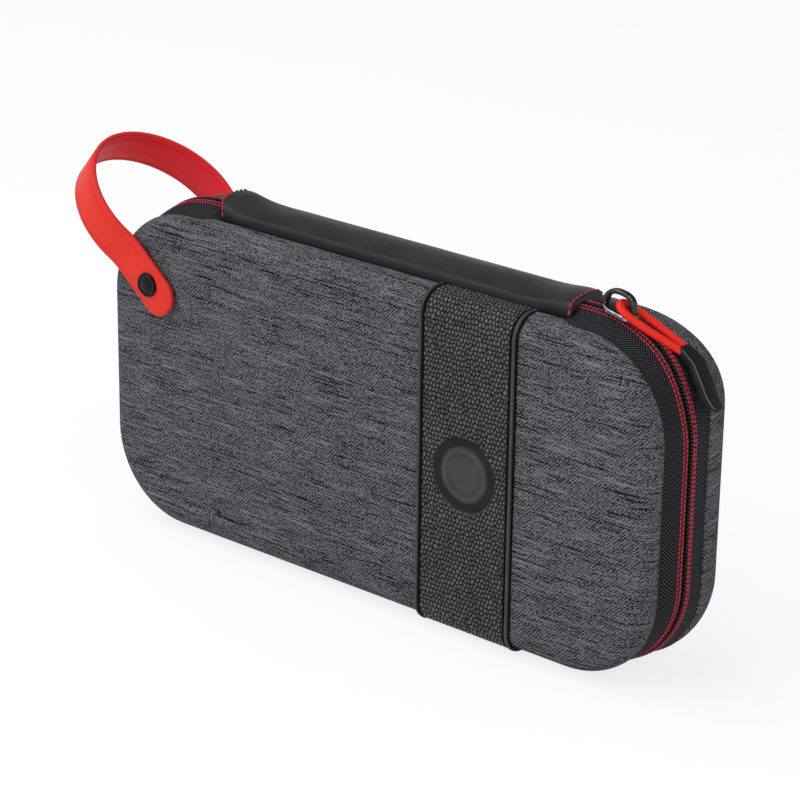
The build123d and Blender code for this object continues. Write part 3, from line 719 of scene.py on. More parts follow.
def mark_points(mesh, name, values):
    """Store a value at each point of a mesh."""
    mesh.attributes.new(name, "FLOAT", "POINT").data.foreach_set("value", values)


def mark_edges(mesh, reach):
    """Store how sharply the surface turns outwards at each point, from 0 to 1, as edge."""
    turns = [0.0] * len(mesh.vertices)
    counts = [0] * len(mesh.vertices)
    for edge in mesh.edges:
        a, b = edge.vertices
        step = mesh.vertices[b].co - mesh.vertices[a].co
        if step.length < 1e-7:
            continue
        step.normalize()
        turns[a] += max(-step.dot(mesh.vertices[a].normal), 0.0)
        turns[b] += max(step.dot(mesh.vertices[b].normal), 0.0)
        counts[a] += 1
        counts[b] += 1
    mark_points(mesh, "edge", [min(t / max(c, 1) / reach, 1.0) for t, c in zip(turns, counts)])


def running_length(points):
    """Distance along a line of points at each of them."""
    total = [0.0]
    for a, b in zip(points, points[1:]):
        total.append(total[-1] + (b - a).length)
    return total


def beside(items, k):
    """Items before and after the k-th one, or that one itself at an end."""
    return items[max(k - 1, 0)], items[min(k + 1, len(items) - 1)]


TOP_STEPS, CORNER_STEPS, SIDE_STEPS = 24, 16, 14
TOP_FULLNESS = 0.91


def outline(inset, corner, start_x=0.0, top=None):
    """Round the case from start_x on its top side, clockwise, to -start_x: (x, z, outward x, outward z).

    top gives the upper corners' reach along and down, where they aren't round like the lower ones.
    """
    side_x, side_z = LENGTH / 2 - inset, HEIGHT / 2 - inset
    top_x, top_z = top or (corner, corner)
    fullness = TOP_FULLNESS if top else 1.0
    line = []

    def run(a, b, normal, count):
        for k in range(count):
            t = k / count
            line.append((mix(a[0], b[0], t), MIDDLE_Z + mix(a[1], b[1], t), *normal))

    def turn(x, z, reach_x, reach_z, start, power):
        for k in range(CORNER_STEPS):
            angle = radians(start) + k / CORNER_STEPS * pi / 2
            along, up = signed_power(sin(angle), power), signed_power(cos(angle), power)
            out_x, out_z = reach_z * sin(angle), reach_x * cos(angle)
            size = hypot(out_x, out_z)
            line.append((x + reach_x * along, MIDDLE_Z + z + reach_z * up, out_x / size, out_z / size))

    run((start_x, side_z), (side_x - top_x, side_z), (0, 1), TOP_STEPS)
    turn(side_x - top_x, side_z - top_z, top_x, top_z, 0, fullness)
    run((side_x, side_z - top_z), (side_x, corner - side_z), (1, 0), SIDE_STEPS)
    turn(side_x - corner, corner - side_z, corner, corner, 90, 1.0)
    run((side_x - corner, -side_z), (corner - side_x, -side_z), (0, -1), 2 * TOP_STEPS)
    turn(corner - side_x, corner - side_z, corner, corner, 180, 1.0)
    run((-side_x, corner - side_z), (-side_x, side_z - top_z), (-1, 0), SIDE_STEPS)
    turn(top_x - side_x, side_z - top_z, top_x, top_z, 270, fullness)
    run((top_x - side_x, side_z), (-start_x, side_z), (0, 1), TOP_STEPS)
    if start_x:
        line.append((-start_x, MIDDLE_Z + side_z, 0, 1))
    return line


# Shells
FACE_STEPS = (4, 12, 22)
INNER_STEPS, OUTER_STEPS, ROLL_STEPS = 8, 12, 3
LEAST_CORNER = 6.0
TONGUE_LIFT = 0.8


def shell_rows(depth, edge, roll):
    """Section of a shell from the middle of its lining round the rim to the middle of its face.

    Each row is (inset, depth from the rim, reach of the cloth past the face's edge, lining or not).
    """
    inner = edge - SHELL_WALL
    rows = [(edge + step, depth - SHELL_WALL, None, True) for step in (*reversed(FACE_STEPS), 0)]
    for k in range(1, INNER_STEPS + 1):
        turn = pi / 2 * (1 - k / INNER_STEPS)
        row = SHELL_WALL + inner * (1 - cos(turn)), depth - edge + inner * sin(turn)
        rows.append((*row, inner * (pi / 2 - turn), True))
    reach = inner * pi / 2 + depth - edge
    rows.append((SHELL_WALL, roll, reach, True))
    rows.append((SHELL_WALL - 0.3 * roll, 0.3 * roll, reach + 0.5, True))
    rows.append((SHELL_WALL - roll, 0.0, reach + 1.2, True))
    wall = edge * pi / 2 + depth - edge
    rows.append((roll * 1.6, 0.0, wall + roll * 1.4, False))
    for k in range(ROLL_STEPS + 1):
        turn = pi / 2 * k / ROLL_STEPS
        rows.append((roll * (1 - sin(turn)), roll * (1 - cos(turn)), wall + roll * (0.8 - 0.5 * k), False))
    if depth - edge > 2 * roll:
        rows.append((0.0, (depth - edge + roll) / 2, edge * pi / 2 + (depth - edge - roll) / 2, False))
    for k in range(OUTER_STEPS + 1):
        turn = pi / 2 * k / OUTER_STEPS
        rows.append((edge * (1 - cos(turn)), depth - edge + edge * sin(turn), edge * (pi / 2 - turn), False))
    return rows + [(edge + step, depth, None, False) for step in FACE_STEPS]


def shell_outline(inset, more, top):
    """Outline of a shell's section, further in by more; top gives its upper corners where they differ."""
    reach = [max(size - more, LEAST_CORNER) for size in top] if top else None
    return outline(inset + more, max(SHELL_CORNER - more, LEAST_CORNER), top=reach)


def make_shell(half, rim, face, inset, edge, roll, tongue=0.0, top=None):
    """Moulded shell in canvas, lined inside; its rim reaches back under the spine by tongue."""
    side = 1 if face > rim else -1
    base = shell_outline(inset, edge, top)
    rows, maps, linings = [], [], []
    for more, depth, reach, lining in shell_rows(abs(face - rim), edge, roll):
        row, chart = [], []
        for (x, z, out_x, out_z), flat in zip(shell_outline(inset, more, top), base):
            under = smooth((SPINE_HALF + 4 - abs(x)) / 5) if out_z > 0.9 and tongue else 0.0
            back = tongue * under * smooth(1 - (depth - roll) / 1.5)
            lift = TONGUE_LIFT * under * smooth(1 - depth / 6)
            row.append(mm(x, rim + side * (depth - back), z + lift))
            if reach is None:
                chart.append((x * MM, z * MM))
            else:
                away = reach + back
                chart.append(((flat[0] + out_x * away) * MM, (flat[1] + out_z * away) * MM))
        rows.append(row)
        maps.append(chart + chart[:1])
        linings.append(int(lining))
    mesh = grid(f"{half}_cover", rows, maps, wrap=True, finish_at=lambda i, j: linings[i])
    add_piece(mesh, f"{half}_half", (CANVAS, LINING), "canvas", [f"{half}_shell"])


make_shell("front", FRONT_RIM, FRONT_FACE, FRONT_INSET, FRONT_EDGE, roll=0.5, tongue=2.7)
make_shell("rear", REAR_RIM, REAR_FACE, 0.0, REAR_EDGE, roll=0.8, top=REAR_TOP)


# Leather band
BAND_TURN_STEPS, BAND_FACE_STEPS, BAND_COLUMNS, BAND_ROW = 24, 60, 140, 0.3
BAND_RIM = (0.0, 0.18, 0.5, 0.95)
BAND_FINE_FROM = 1.3
PEBBLE_WIDTH, PEBBLE_LENGTH, PEBBLE_SHIFT, PEBBLE_CREASE, PEBBLE_DEPTH = 1.6, 1.85, 0.6, 0.62, 0.4
MEDALLION, MEDALLION_RING, MEDALLION_DEPTH = 14.2, 10.6, 0.22


def band_section():
    """Line of the band's outer face over the front shell: (y, z, outward y, outward z)."""
    edge = FRONT_EDGE + BAND_THICK
    low = FRONT_INSET - BAND_THICK
    high = HEIGHT - low
    face_y = FRONT_FACE - BAND_THICK
    turns = [pi / 2 * k / BAND_TURN_STEPS for k in range(1, BAND_TURN_STEPS + 1)]
    line = [(FRONT_RIM - 0.1, low, 0, -1), (face_y + edge, low, 0, -1)]
    for t in turns:
        line.append((face_y + edge - edge * sin(t), low + edge - edge * cos(t), -sin(t), -cos(t)))
    for k in range(1, BAND_FACE_STEPS + 1):
        line.append((face_y, mix(low + edge, high - edge, k / BAND_FACE_STEPS), -1, 0))
    for t in turns:
        line.append((face_y + edge - edge * cos(t), high - edge + edge * sin(t), -cos(t), sin(t)))
    line.append((SPINE_FRONT - 0.4, high, 0, 1))
    return line


def pebbles(x, s):
    """Height of the pebbled grain at a place on the band, from 0 in the creases to 1."""
    u, v = x / PEBBLE_WIDTH, s / PEBBLE_LENGTH
    near, following = 9.0, 9.0
    for row in (floor(v) - 1, floor(v), floor(v) + 1):
        shift = 0.5 * (row % 2)
        for column in (floor(u - shift) - 1, floor(u - shift), floor(u - shift) + 1):
            jitter = noise.cell_vector(Vector((column + 0.5, row + 0.5, 0.5)))
            away_u = column + shift + 0.5 + PEBBLE_SHIFT * (jitter.x - 0.5) - u
            away_v = row + 0.5 + PEBBLE_SHIFT * (jitter.y - 0.5) - v
            away = hypot(away_u, away_v)
            near, following = min(near, away), min(max(near, away), following)
    return smooth((following - near) / PEBBLE_CREASE)


def band_relief(gap, grain, off):
    """Rise and tone of the band's face, by the gap to its edge, its grain and the way off its middle; the tone falls
    to dark in the creases, in the groove inside the rims, at the rims' outer edge and in the medallion's ring, which
    is painted shade.
    """
    inside = smooth((gap - 2.6) / 0.7)
    rise = PEBBLE_DEPTH * (grain - 0.6) * inside
    rise += 0.45 * swell(gap, 0.0, 0.7, 1.4, 0.6) - 0.3 * (1 - smooth(gap / 0.55))
    rise -= 0.3 * swell(gap, 1.5, 0.45, 2.3, 0.5)
    disc = 1 - smooth((off - MEDALLION) / 0.6)
    ring = smooth((off - MEDALLION_RING) / 0.5) * disc
    lip = swell(off, MEDALLION - 0.2, 0.6, MEDALLION + 0.8, 0.8)
    boss = 0.12 * (1 - smooth((off - 6.2) / 0.7)) + 0.22 * swell(off, 8.4, 0.4, 9.6, 0.4)
    rise = mix(rise, boss - MEDALLION_DEPTH, disc) - 0.3 * ring + 0.16 * lip
    # Painted shade: the tone falls to dark in the groove inside the rim and at the rim's outer edge.
    rim_with_groove_shade = swell(gap, 0.0, 0.5, 1.3, 0.6)
    return rise, mix(mix(0.55 * rim_with_groove_shade, grain, inside), 0.44 + 0.5 * boss - 0.26 * ring, disc)


def make_band():
    """Pebbled strip with smooth rolled rims, a groove inside them and a round sunk medallion."""
    line = band_section()
    lengths = running_length([Vector((0, y, z)) for y, z, *_ in line])
    total = lengths[-1]
    count = int(total / BAND_ROW)
    half = BAND_WIDTH / 2
    fine = half - BAND_FINE_FROM
    columns = [step - half for step in BAND_RIM]
    columns += [mix(-fine, fine, k / BAND_COLUMNS) for k in range(BAND_COLUMNS + 1)]
    columns += [half - step for step in reversed(BAND_RIM)]
    rows, maps, tones_with_painted_shade = [], [], []
    at = 0
    for i in range(count + 1):
        s = total * i / count
        while at < len(line) - 2 and lengths[at + 1] < s:
            at += 1
        t = (s - lengths[at]) / (lengths[at + 1] - lengths[at])
        y, z, out_y, out_z = (mix(a, b, t) for a, b in zip(line[at], line[at + 1]))
        size = hypot(out_y, out_z)
        out_y, out_z = out_y / size, out_z / size
        base = mm(0, y - out_y * BAND_THICK, z - out_z * BAND_THICK)
        row, chart, tall = [], [], []
        for x in columns:
            off = hypot(x, z - MIDDLE_Z) if out_y < -0.99 else 99.0
            rise, tone = band_relief(half - abs(x), pebbles(x, s), off)
            row.append(mm(BAND_X + x, y + out_y * rise, z + out_z * rise))
            chart.append((x * MM, s * MM))
            tall.append(tone)
        rows.append([base + mm(BAND_X - half, 0, 0), *row, base + mm(BAND_X + half, 0, 0)])
        maps.append([chart[0], *chart, chart[-1]])
        tones_with_painted_shade += [0.0, *tall, 0.0]
    # The band's two side walls take the nearly black edge paint, which paints the shade along its edges.
    sides = (0, len(columns))
    mesh = grid("leather_band_cover", rows, maps, finish_at=lambda i, j: int(j in sides))
    # The stored tone darkens the creases and grooves as painted shade.
    mark_points(mesh, "pebble_tone_with_crease_shade", tones_with_painted_shade)
    add_piece(mesh, "front_half", (BAND_LEATHER, SHADED_EDGE_PAINT), "grained_leather", ["leather_band"])


make_band()


# Spine panel; q runs from its rear edge (0) to its front edge (1)
SPINE_BASE, SPINE_FLOOR = HEIGHT - 1.4, HEIGHT - 2.0
SPINE_REAR_ROLL, SPINE_FRONT_ROLL, SPINE_END_ROLL = 0.06, 0.9, 0.9
SPINE_BENT_OVER = 26
HINGE_REAR, HINGE_FRONT = mm(0, -5, 132), mm(0, -22.5, 132)


def spine_slant(x, q):
    """Shift along the case that gives the spine its curved end lines."""
    slant = 6.6 * q**4 - 1.6 if x < 0 else 2.0 * q * q - 0.5
    return slant * smooth((abs(x) - SPINE_HALF + SPINE_BENT_OVER) / SPINE_BENT_OVER)


def spine_point(x, q):
    """Place on the padded spine: a low crown, fuller at its ends, with rolled edges."""
    away = SPINE_HALF - abs(x)
    crown = 3.2 + 6.9 * q - 8.7 * q * q
    if x < 0:
        crown += 2.2 * bell(away, 3, 8.5) * (1 - 0.55 * q)
    else:
        crown += 1.0 * bell(away, 5, 8) * (1 - 0.2 * q)
    crown += 1.9 * bell(away, 0, 8) * q * q
    crown -= 0.3 * bell(away, 24, 7) * sin(pi * q)
    crown += 0.1 * noise.noise(Vector((x / 17, q * 1.6, 3.0)))
    front = max((q - SPINE_FRONT_ROLL) / (1 - SPINE_FRONT_ROLL), 0.0)
    rear = max((SPINE_REAR_ROLL - q) / SPINE_REAR_ROLL, 0.0)
    end = max((SPINE_END_ROLL - away) / SPINE_END_ROLL, 0.0)
    rise = HEIGHT + crown - SPINE_BASE
    rise *= sqrt(max(1 - front**2, 0.0)) * sqrt(max(1 - rear**2, 0.0))
    rise *= sqrt(max(1 - end**2, 0.0) * 0.5 + 0.5)
    return mm(x + spine_slant(x, q), mix(REAR_RIM, SPINE_FRONT, q), SPINE_BASE + rise)


def make_spine():
    """Padded leather strip between the shells; it bends between them as the case opens."""
    stops = [k / 6 * SPINE_REAR_ROLL for k in range(6)]
    stops += [mix(SPINE_REAR_ROLL, SPINE_FRONT_ROLL, k / 24) for k in range(24)]
    stops += [mix(SPINE_FRONT_ROLL, 1.0, sin(pi / 2 * k / 7)) for k in range(8)]
    straight = SPINE_HALF - SPINE_END_ROLL
    ends = [SPINE_HALF - SPINE_END_ROLL * (1 - cos(pi / 2 * k / 4)) for k in range(4)]
    places = [-x for x in ends] + [mix(-straight, straight, k / 132) for k in range(133)] + ends[::-1]
    rows = []
    for x in places:
        row = [spine_point(x, q) for q in stops]
        for q in [1 - k / 6 for k in range(7)]:
            row.append(mm(x + spine_slant(x, q), mix(REAR_RIM, SPINE_FRONT, q), SPINE_FLOOR))
        rows.append(row)
    mesh = make_sleeve("spine_cover", rows, [x * MM for x in places])
    return add_piece(mesh, None, (SPINE_LEATHER,), "smooth_leather", ["spine_panel"])


spine = make_spine()
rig.blend(spine, "rear_half", "front_half", start=HINGE_REAR, end=HINGE_FRONT)
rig.padded(spine, fill=0.6)


# Repeats along a line
def build_repeat():
    """One small rounded form set along lines, turned with the line and away from the surface."""
    tree = bpy.data.node_groups.new("rounded form along a line", "GeometryNodeTree")
    sockets = [("Geometry", "NodeSocketGeometry")]
    sockets += [(label, FLOAT) for label in ("Pitch", "Length", "Width", "Height", "Lean")]
    for label, kind in (*sockets, ("Finish", "NodeSocketMaterial")):
        tree.interface.new_socket(label, in_out="INPUT", socket_type=kind)
    tree.interface.new_socket("Geometry", in_out="OUTPUT", socket_type="NodeSocketGeometry")
    given = tree.nodes.new("NodeGroupInput").outputs
    end = tree.nodes.new("NodeGroupOutput").inputs
    nodes = Nodes(tree)
    lines = nodes.add("GeometryNodeMeshToCurve", {"Mesh": given["Geometry"]})[0]
    stops = {"Curve": lines, "Length": given["Pitch"]}
    points = nodes.add("GeometryNodeResampleCurve", stops, mode="LENGTH")[0]
    tangent = nodes.add("GeometryNodeInputTangent")[0]
    stored = nodes.add("GeometryNodeInputNamedAttribute", {"Name": "outward"}, data_type="FLOAT_VECTOR")
    outward = stored["Attribute"]
    sideways = nodes.vector("CROSS_PRODUCT", {0: outward, 1: tangent})
    leaning = nodes.vector("SCALE", {0: sideways, "Scale": given["Lean"]})
    heading = nodes.vector("ADD", {0: tangent, 1: leaning})
    along = nodes.add("FunctionNodeAlignRotationToVector", {"Vector": heading}, axis="X")[0]
    aims = {"Rotation": along, "Vector": outward}
    facing = nodes.add("FunctionNodeAlignRotationToVector", aims, axis="Z", pivot_axis="X")[0]
    ball = nodes.add("GeometryNodeMeshUVSphere", {"Segments": 6, "Rings": 5, "Radius": 0.5})["Mesh"]
    sizes = {0: given["Length"], 1: given["Width"], 2: given["Height"]}
    size = nodes.add("ShaderNodeCombineXYZ", sizes)[0]
    turned = nodes.add("GeometryNodeTransform", {"Geometry": ball, "Rotation": (0, pi / 2, 0)})[0]
    sized = nodes.add("GeometryNodeTransform", {"Geometry": turned, "Scale": size})[0]
    setting = {"Points": points, "Instance": sized, "Rotation": facing}
    set_out = nodes.add("GeometryNodeInstanceOnPoints", setting)[0]
    real = nodes.add("GeometryNodeRealizeInstances", {"Geometry": set_out})[0]
    rounded = nodes.add("GeometryNodeSetShadeSmooth", {"Geometry": real})[0]
    done = nodes.add("GeometryNodeSetMaterial", {"Geometry": rounded, "Material": given["Finish"]})[0]
    tree.links.new(done, end["Geometry"])
    return tree


REPEAT = build_repeat()
REPEAT_SOCKETS = [item for item in REPEAT.interface.items_tree if item.in_out == "INPUT"]
REPEAT_INPUTS = {item.name: item.identifier for item in REPEAT_SOCKETS}


def repeat_along(name, lines, finish, pitch, size, lean):
    """Plain mesh of the repeated form along lines of (point, outward); size is (length, width, height)."""
    mesh = bpy.data.meshes.new(name)
    points, outwards, links = [], [], []
    for line in lines:
        first = len(points)
        for point, outward in line:
            points.append(point)
            outwards.extend(outward)
        links += [(k, k + 1) for k in range(first, len(points) - 1)]
    mesh.from_pydata(points, links, [])
    mesh.attributes.new("outward", "FLOAT_VECTOR", "POINT").data.foreach_set("vector", outwards)
    values = {"Pitch": pitch * MM, "Lean": lean, "Finish": finish}
    for label, length in zip(("Length", "Width", "Height"), size):
        values[label] = length * MM
    inputs = {REPEAT_INPUTS[label]: value for label, value in values.items()}
    return settle(mesh, ("NODES", {"node_group": REPEAT, **inputs}))


# Zip; each tape has its width, its inset at the zip and its inset at the rim
TAPES = {-1: (ZIP_Y - FRONT_RIM, 0.4, FRONT_INSET), 1: (REAR_RIM - ZIP_Y, 0.0, 0.0)}
ZIP_RISE, ZIP_PROUD, ZIP_TUCK = 3.8, 1.3, -0.6
RISE_FADE_RIGHT, RISE_FADE_LEFT = (35, 75), (-10, 40)
TAPE_DIP, TAPE_TUCK, TAPE_BELLY, TAPE_STEPS = 1.8, 7.0, 0.3, 12
TAPE_END = SPINE_HALF - 0.6
STITCH_ROWS, STITCH_LIFT = (1.7, 3.0), 0.12
COIL_OFFSET, COIL_DROP = 0.25, 0.75


def zip_rise(k, count):
    """How far the zip stands out at a point of its line: most beside the spine, tucked in under the case."""
    start, stop = RISE_FADE_RIGHT if k < count / 2 else RISE_FADE_LEFT
    k = min(k, count - 1 - k) - TOP_STEPS
    if k <= CORNER_STEPS:
        turned = 90 * k / CORNER_STEPS
        return mix(ZIP_RISE, ZIP_PROUD, smooth((turned - start) / (stop - start)))
    low = (k - CORNER_STEPS - SIDE_STEPS) / CORNER_STEPS
    return mix(ZIP_PROUD, ZIP_TUCK, smooth(low / 0.9))


def tape_line(side, share, lift=0.0, start=TAPE_END):
    """Points along a tape at a share of its width from the zip's gap, with their outward directions."""
    width, zip_inset, rim_inset = TAPES[side]
    near = outline(zip_inset, ZIP_CORNER, start)
    top = [size - TAPE_DROP for size in REAR_TOP] if side > 0 else None
    far = outline(rim_inset + TAPE_DROP, SHELL_CORNER - TAPE_DROP, start, top)
    y = ZIP_Y + side * mix(ZIP_GAP / 2, width, share)
    belly = TAPE_BELLY * sin(pi * min(max(share, 0.0), 1.0)) + lift
    line = []
    for k, ((x0, z0, out_x, out_z), (x1, z1, *_)) in enumerate(zip(near, far)):
        under_spine = smooth((TAPE_END - abs(x0)) / 3) if out_z > 0.99 else 0.0
        out = belly + zip_rise(k, len(near)) * (1 - share) - TAPE_DIP * under_spine
        point = mm(mix(x0, x1, share) + out_x * out, y, mix(z0, z1, share) + out_z * out)
        line.append((point, (out_x, 0.0, out_z)))
    return line


def make_tape(side, half):
    """Woven tape from the zip's gap to the shell's rim."""
    shares = [0.0, 0.02] + [mix(0.06, 1.0, k / TAPE_STEPS) for k in range(TAPE_STEPS + 1)]
    section = [(s, -0.18 * (1 - smooth(s / 0.05))) for s in shares]
    section += [(s, -TAPE_THICK) for s in (1.0, 0.6, 0.2, 0.0)]
    lines = [tape_line(side, share, lift, SPINE_HALF - TAPE_TUCK) for share, lift in section]
    run = running_length([p for p, _ in lines[0]])
    rows = [[line[k][0] for line in lines] for k in range(len(run))]
    across = [share * TAPES[side][0] * MM for share, _ in section]
    maps = [[(s, a) for a in across + across[:1]] for s in run]
    mesh = grid(f"{half}_tape_cloth", rows, maps, wrap=True)
    nodes = [f"{half}_zip_tape_{part}" for part in ("left", "bottom", "right")]
    add_piece(mesh, f"{half}_half", (TAPE_CLOTH,), "zip_tape", nodes)


def make_tape_stitches(side, half):
    """Two rows of red stitches beside the zip's gap."""
    width = TAPES[side][0] - ZIP_GAP / 2
    rows = [tape_line(side, (distance - ZIP_GAP / 2) / width, STITCH_LIFT) for distance in STITCH_ROWS]
    mesh = repeat_along(f"{half}_tape_stitches", rows, THREAD, 1.72, (1.58, 1.05, 0.55), 0.2)
    add_piece(mesh, f"{half}_half", (THREAD,), "zip_tape")


def make_coil(side, half):
    """Nylon coil along the tape's inner edge."""
    width = TAPES[side][0] - ZIP_GAP / 2
    row = tape_line(side, COIL_OFFSET / width, -TAPE_THICK - COIL_DROP)
    mesh = repeat_along(f"{half}_coil_turns", [row], NYLON, 1.2, (0.9, 1.9, 1.5), 0.25)
    add_piece(mesh, f"{half}_half", (NYLON,), "zip_coil", [f"{half}_zip_coil"])


def make_spine_stitches():
    """Red stitches across both ends of the spine."""
    lines = []
    for x in (-SPINE_HALF + 1.1, SPINE_HALF - 1.1):
        line = []
        for q in [mix(0.03, 0.985, k / 40) for k in range(41)]:
            slope = spine_point(x, q + 0.01) - spine_point(x, q - 0.01)
            outward = Vector((0, slope.z, -slope.y)).normalized()
            outward = outward if outward.z > 0 else -outward
            line.append((spine_point(x, q) + outward * 0.00018, tuple(outward)))
        lines.append(line)
    mesh = repeat_along("spine_stitches", lines, THREAD, 2.4, (2.2, 0.85, 0.8), 0.12)
    stitches = add_piece(mesh, None, (THREAD,), "smooth_leather")
    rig.blend(stitches, "rear_half", "front_half", start=HINGE_REAR, end=HINGE_FRONT)


for side, half in ((-1, "front"), (1, "rear")):
    make_tape(side, half)
    make_tape_stitches(side, half)
    make_coil(side, half)
make_spine_stitches()


# Zip slider, in a frame along, across and above the zip where it is parked
SLIDER_TURN = 7.7 / ZIP_CORNER
SLIDER_ALONG = Vector((cos(SLIDER_TURN), 0, -sin(SLIDER_TURN)))
SLIDER_OUT = Vector((sin(SLIDER_TURN), 0, cos(SLIDER_TURN)))
SLIDER_AT = mm(95, ZIP_Y, 92) + SLIDER_OUT * (ZIP_CORNER + ZIP_RISE) * MM
PLATE_HALF = [(-6.5, 1.6), (-6.1, 2.4), (-4.2, 3.5), (-3.2, 3.9), (-2.0, 4.0)]
PLATE_HALF += [(4.2, 4.0), (5.4, 3.8), (6.2, 3.1), (6.5, 2.0)]
PLATE_FLANGE_FROM = 3.4
NECK = [(0.5, -0.4), (5.5, -0.4), (5.5, 0.4), (0.5, 0.4)]
BRIDGE_SECTION = [(-1, -0.6), (-0.6, -1), (0.6, -1), (1, -0.6), (1, 0.6), (0.6, 1), (-0.6, 1), (-1, 0.6)]
BRIDGE_STEPS = 32


def on_slider(x, y, z):
    return SLIDER_AT + SLIDER_ALONG * (x * MM) + Vector((0, y * MM, 0)) + SLIDER_OUT * (z * MM)


def add_prism(form, plan, low, high, flange=0.0):
    """Block over a plan between two heights; flange turns its long edges down towards the tape."""
    drops = [flange if abs(y) > PLATE_FLANGE_FROM else 0.0 for _, y in plan]
    top = [form.verts.new(on_slider(x, y, high)) for x, y in plan]
    bottom = [form.verts.new(on_slider(x, y, low - drop)) for (x, y), drop in zip(plan, drops)]
    form.faces.new(top)
    form.faces.new(bottom[::-1])
    for k in range(len(plan)):
        n = (k + 1) % len(plan)
        form.faces.new((bottom[k], bottom[n], top[n], top[k]))


def add_bridge(form):
    """Arched bridge, high and square-shouldered, thickest at its feet."""
    path = []
    for k in range(BRIDGE_STEPS + 1):
        c, s = cos(pi * k / BRIDGE_STEPS), sin(pi * k / BRIDGE_STEPS)
        path.append((-0.8 + 6.2 * signed_power(c, 0.8), 1.2 + 6.6 * s**0.72 + 0.5 * c * s))
    rings = []
    for k, (x, z) in enumerate(path):
        before, after = beside(path, k)
        along_x, along_z = before[0] - after[0], before[1] - after[1]
        size = hypot(along_x, along_z)
        foot = abs(2 * k / BRIDGE_STEPS - 1) ** 3
        thick, wide = 1.0 + 0.3 * foot, 1.4 + 0.3 * foot
        ring = []
        for u, v in BRIDGE_SECTION:
            spot = on_slider(x - along_z / size * thick * v, wide * u, z + along_x / size * thick * v)
            ring.append(form.verts.new(spot))
        rings.append(ring)
    for a, b in zip(rings, rings[1:]):
        for k in range(len(BRIDGE_SECTION)):
            n = (k + 1) % len(BRIDGE_SECTION)
            form.faces.new((a[k], a[n], b[n], b[k]))
    form.faces.new(rings[0])
    form.faces.new(rings[-1])


def make_slider():
    """Two plates on a neck through the zip's gap, and the bridge for the pull."""
    plate = PLATE_HALF + [(x, -y) for x, y in reversed(PLATE_HALF)]
    form = bmesh.new()
    add_prism(form, plate, 0.45, 1.45, flange=0.7)
    add_prism(form, plate, -4.6, -3.5)
    add_prism(form, NECK, -3.7, 0.7)
    blocks = close_form(form, "zip_slider_body")
    bevel = {"width": 0.00032, "segments": 3, "limit_method": "ANGLE", "angle_limit": 0.6}
    blocks = settle(blocks, ("BEVEL", bevel))
    form = bmesh.new()
    add_bridge(form)
    arch = settle(close_form(form, "arch"), ("SUBSURF", {"levels": 1, "render_levels": 1}))
    form = bmesh.new()
    form.from_mesh(blocks)
    block_face_count = len(form.faces)
    form.from_mesh(arch)
    form.faces.index_update()
    for face in form.faces:
        face.smooth = True
        # The blocks' side faces take the paler finish: wear, and a painted highlight along the plates' edges.
        upright = abs(face.normal.dot(SLIDER_OUT)) < 0.75
        face.material_index = int(face.index < block_face_count and upright)
    mesh = close_form(form, "zip_slider_body", turn_out=False)
    mark_edges(mesh, 0.3)
    add_piece(mesh, "slider", (SLIDER_METAL, SLIDER_EDGE_WEAR_AND_HIGHLIGHT), "slider_metal", ["zip_slider"])


make_slider()


# Pull: cord loop and grip
CORD_ROUTE = [
    (125.444, -9.25, 124.205),
    (110.6, -18.2, 133.85),
    (103.8, -18.2, 138.26),
    (103.8, -11.8, 138.26),
    (125.444, -5.75, 124.205),
]
CORD_LENGTH, CORD_DIAMETER, CORD_SIDES = 0.0563, 0.003, 26
CORD_OUT = Vector((sin(radians(33)), 0, cos(radians(33))))
STRANDS, STRAND_TURN = 8, 5300
PULL_SHIFT = mm(0.49, 0, 0.75)
GRIP_AT, GRIP_LENGTH, GRIP_STEPS, GRIP_SIDES = Vector((123.767, -7.5, 125.294)), 27.0, 40, 28
GRIP_ALONG = Vector((cos(radians(50)), 0, -sin(radians(50))))
GRIP_OUT = Vector((sin(radians(50)), 0, cos(radians(50))))
RIDGE_FROM, RIDGE_TO, RIDGE_INSET, RIDGE_SIDES = 1.2, 24.4, 0.55, 8


def cord_points():
    """Centreline of the cord: a smooth spline with the route's points as its control points."""
    curve = bpy.data.curves.new("cord line", "CURVE")
    curve.dimensions = "3D"
    curve.resolution_u = 40
    spline = curve.splines.new("NURBS")
    spline.points.add(len(CORD_ROUTE) - 1)
    for point, spot in zip(spline.points, CORD_ROUTE):
        point.co = (*(mm(*spot) + PULL_SHIFT), 1.0)
    spline.order_u = 3
    spline.use_endpoint_u = True
    mesh = settle(curve)
    points = [mesh.vertices[0].co.copy()]
    for vertex in mesh.vertices:
        if (vertex.co - points[-1]).length > 0.00001:
            points.append(vertex.co.copy())
    bpy.data.meshes.remove(mesh)
    return points


def make_cord():
    """Braided cord with a groove along its outer side, doubled through the slider's bridge."""
    points = cord_points()
    run = running_length(points)
    rows = []
    for k, point in enumerate(points):
        before, after = beside(points, k)
        across = CORD_OUT.cross((after - before).normalized()).normalized()
        row = []
        for j in range(CORD_SIDES):
            turn = 2 * pi * j / CORD_SIDES
            groove = 0.16 * bell(turn if turn < pi else turn - 2 * pi, 0, 0.28)
            lay = run[k] * STRAND_TURN
            braid = 0.035 * (sin(STRANDS * turn + lay) + sin(STRANDS * turn - lay))
            reach = CORD_DIAMETER / 2 * (1 - groove + braid)
            row.append(point + CORD_OUT * (cos(turn) * reach * 0.94) + across * (sin(turn) * reach * 1.04))
        rows.append(row)
    mesh = make_tube("pull_cord_braid", rows, run, CORD_DIAMETER * pi / CORD_SIDES)
    return add_piece(mesh, "pull", (BRAID,), "cord", ["pull_cord"]), points


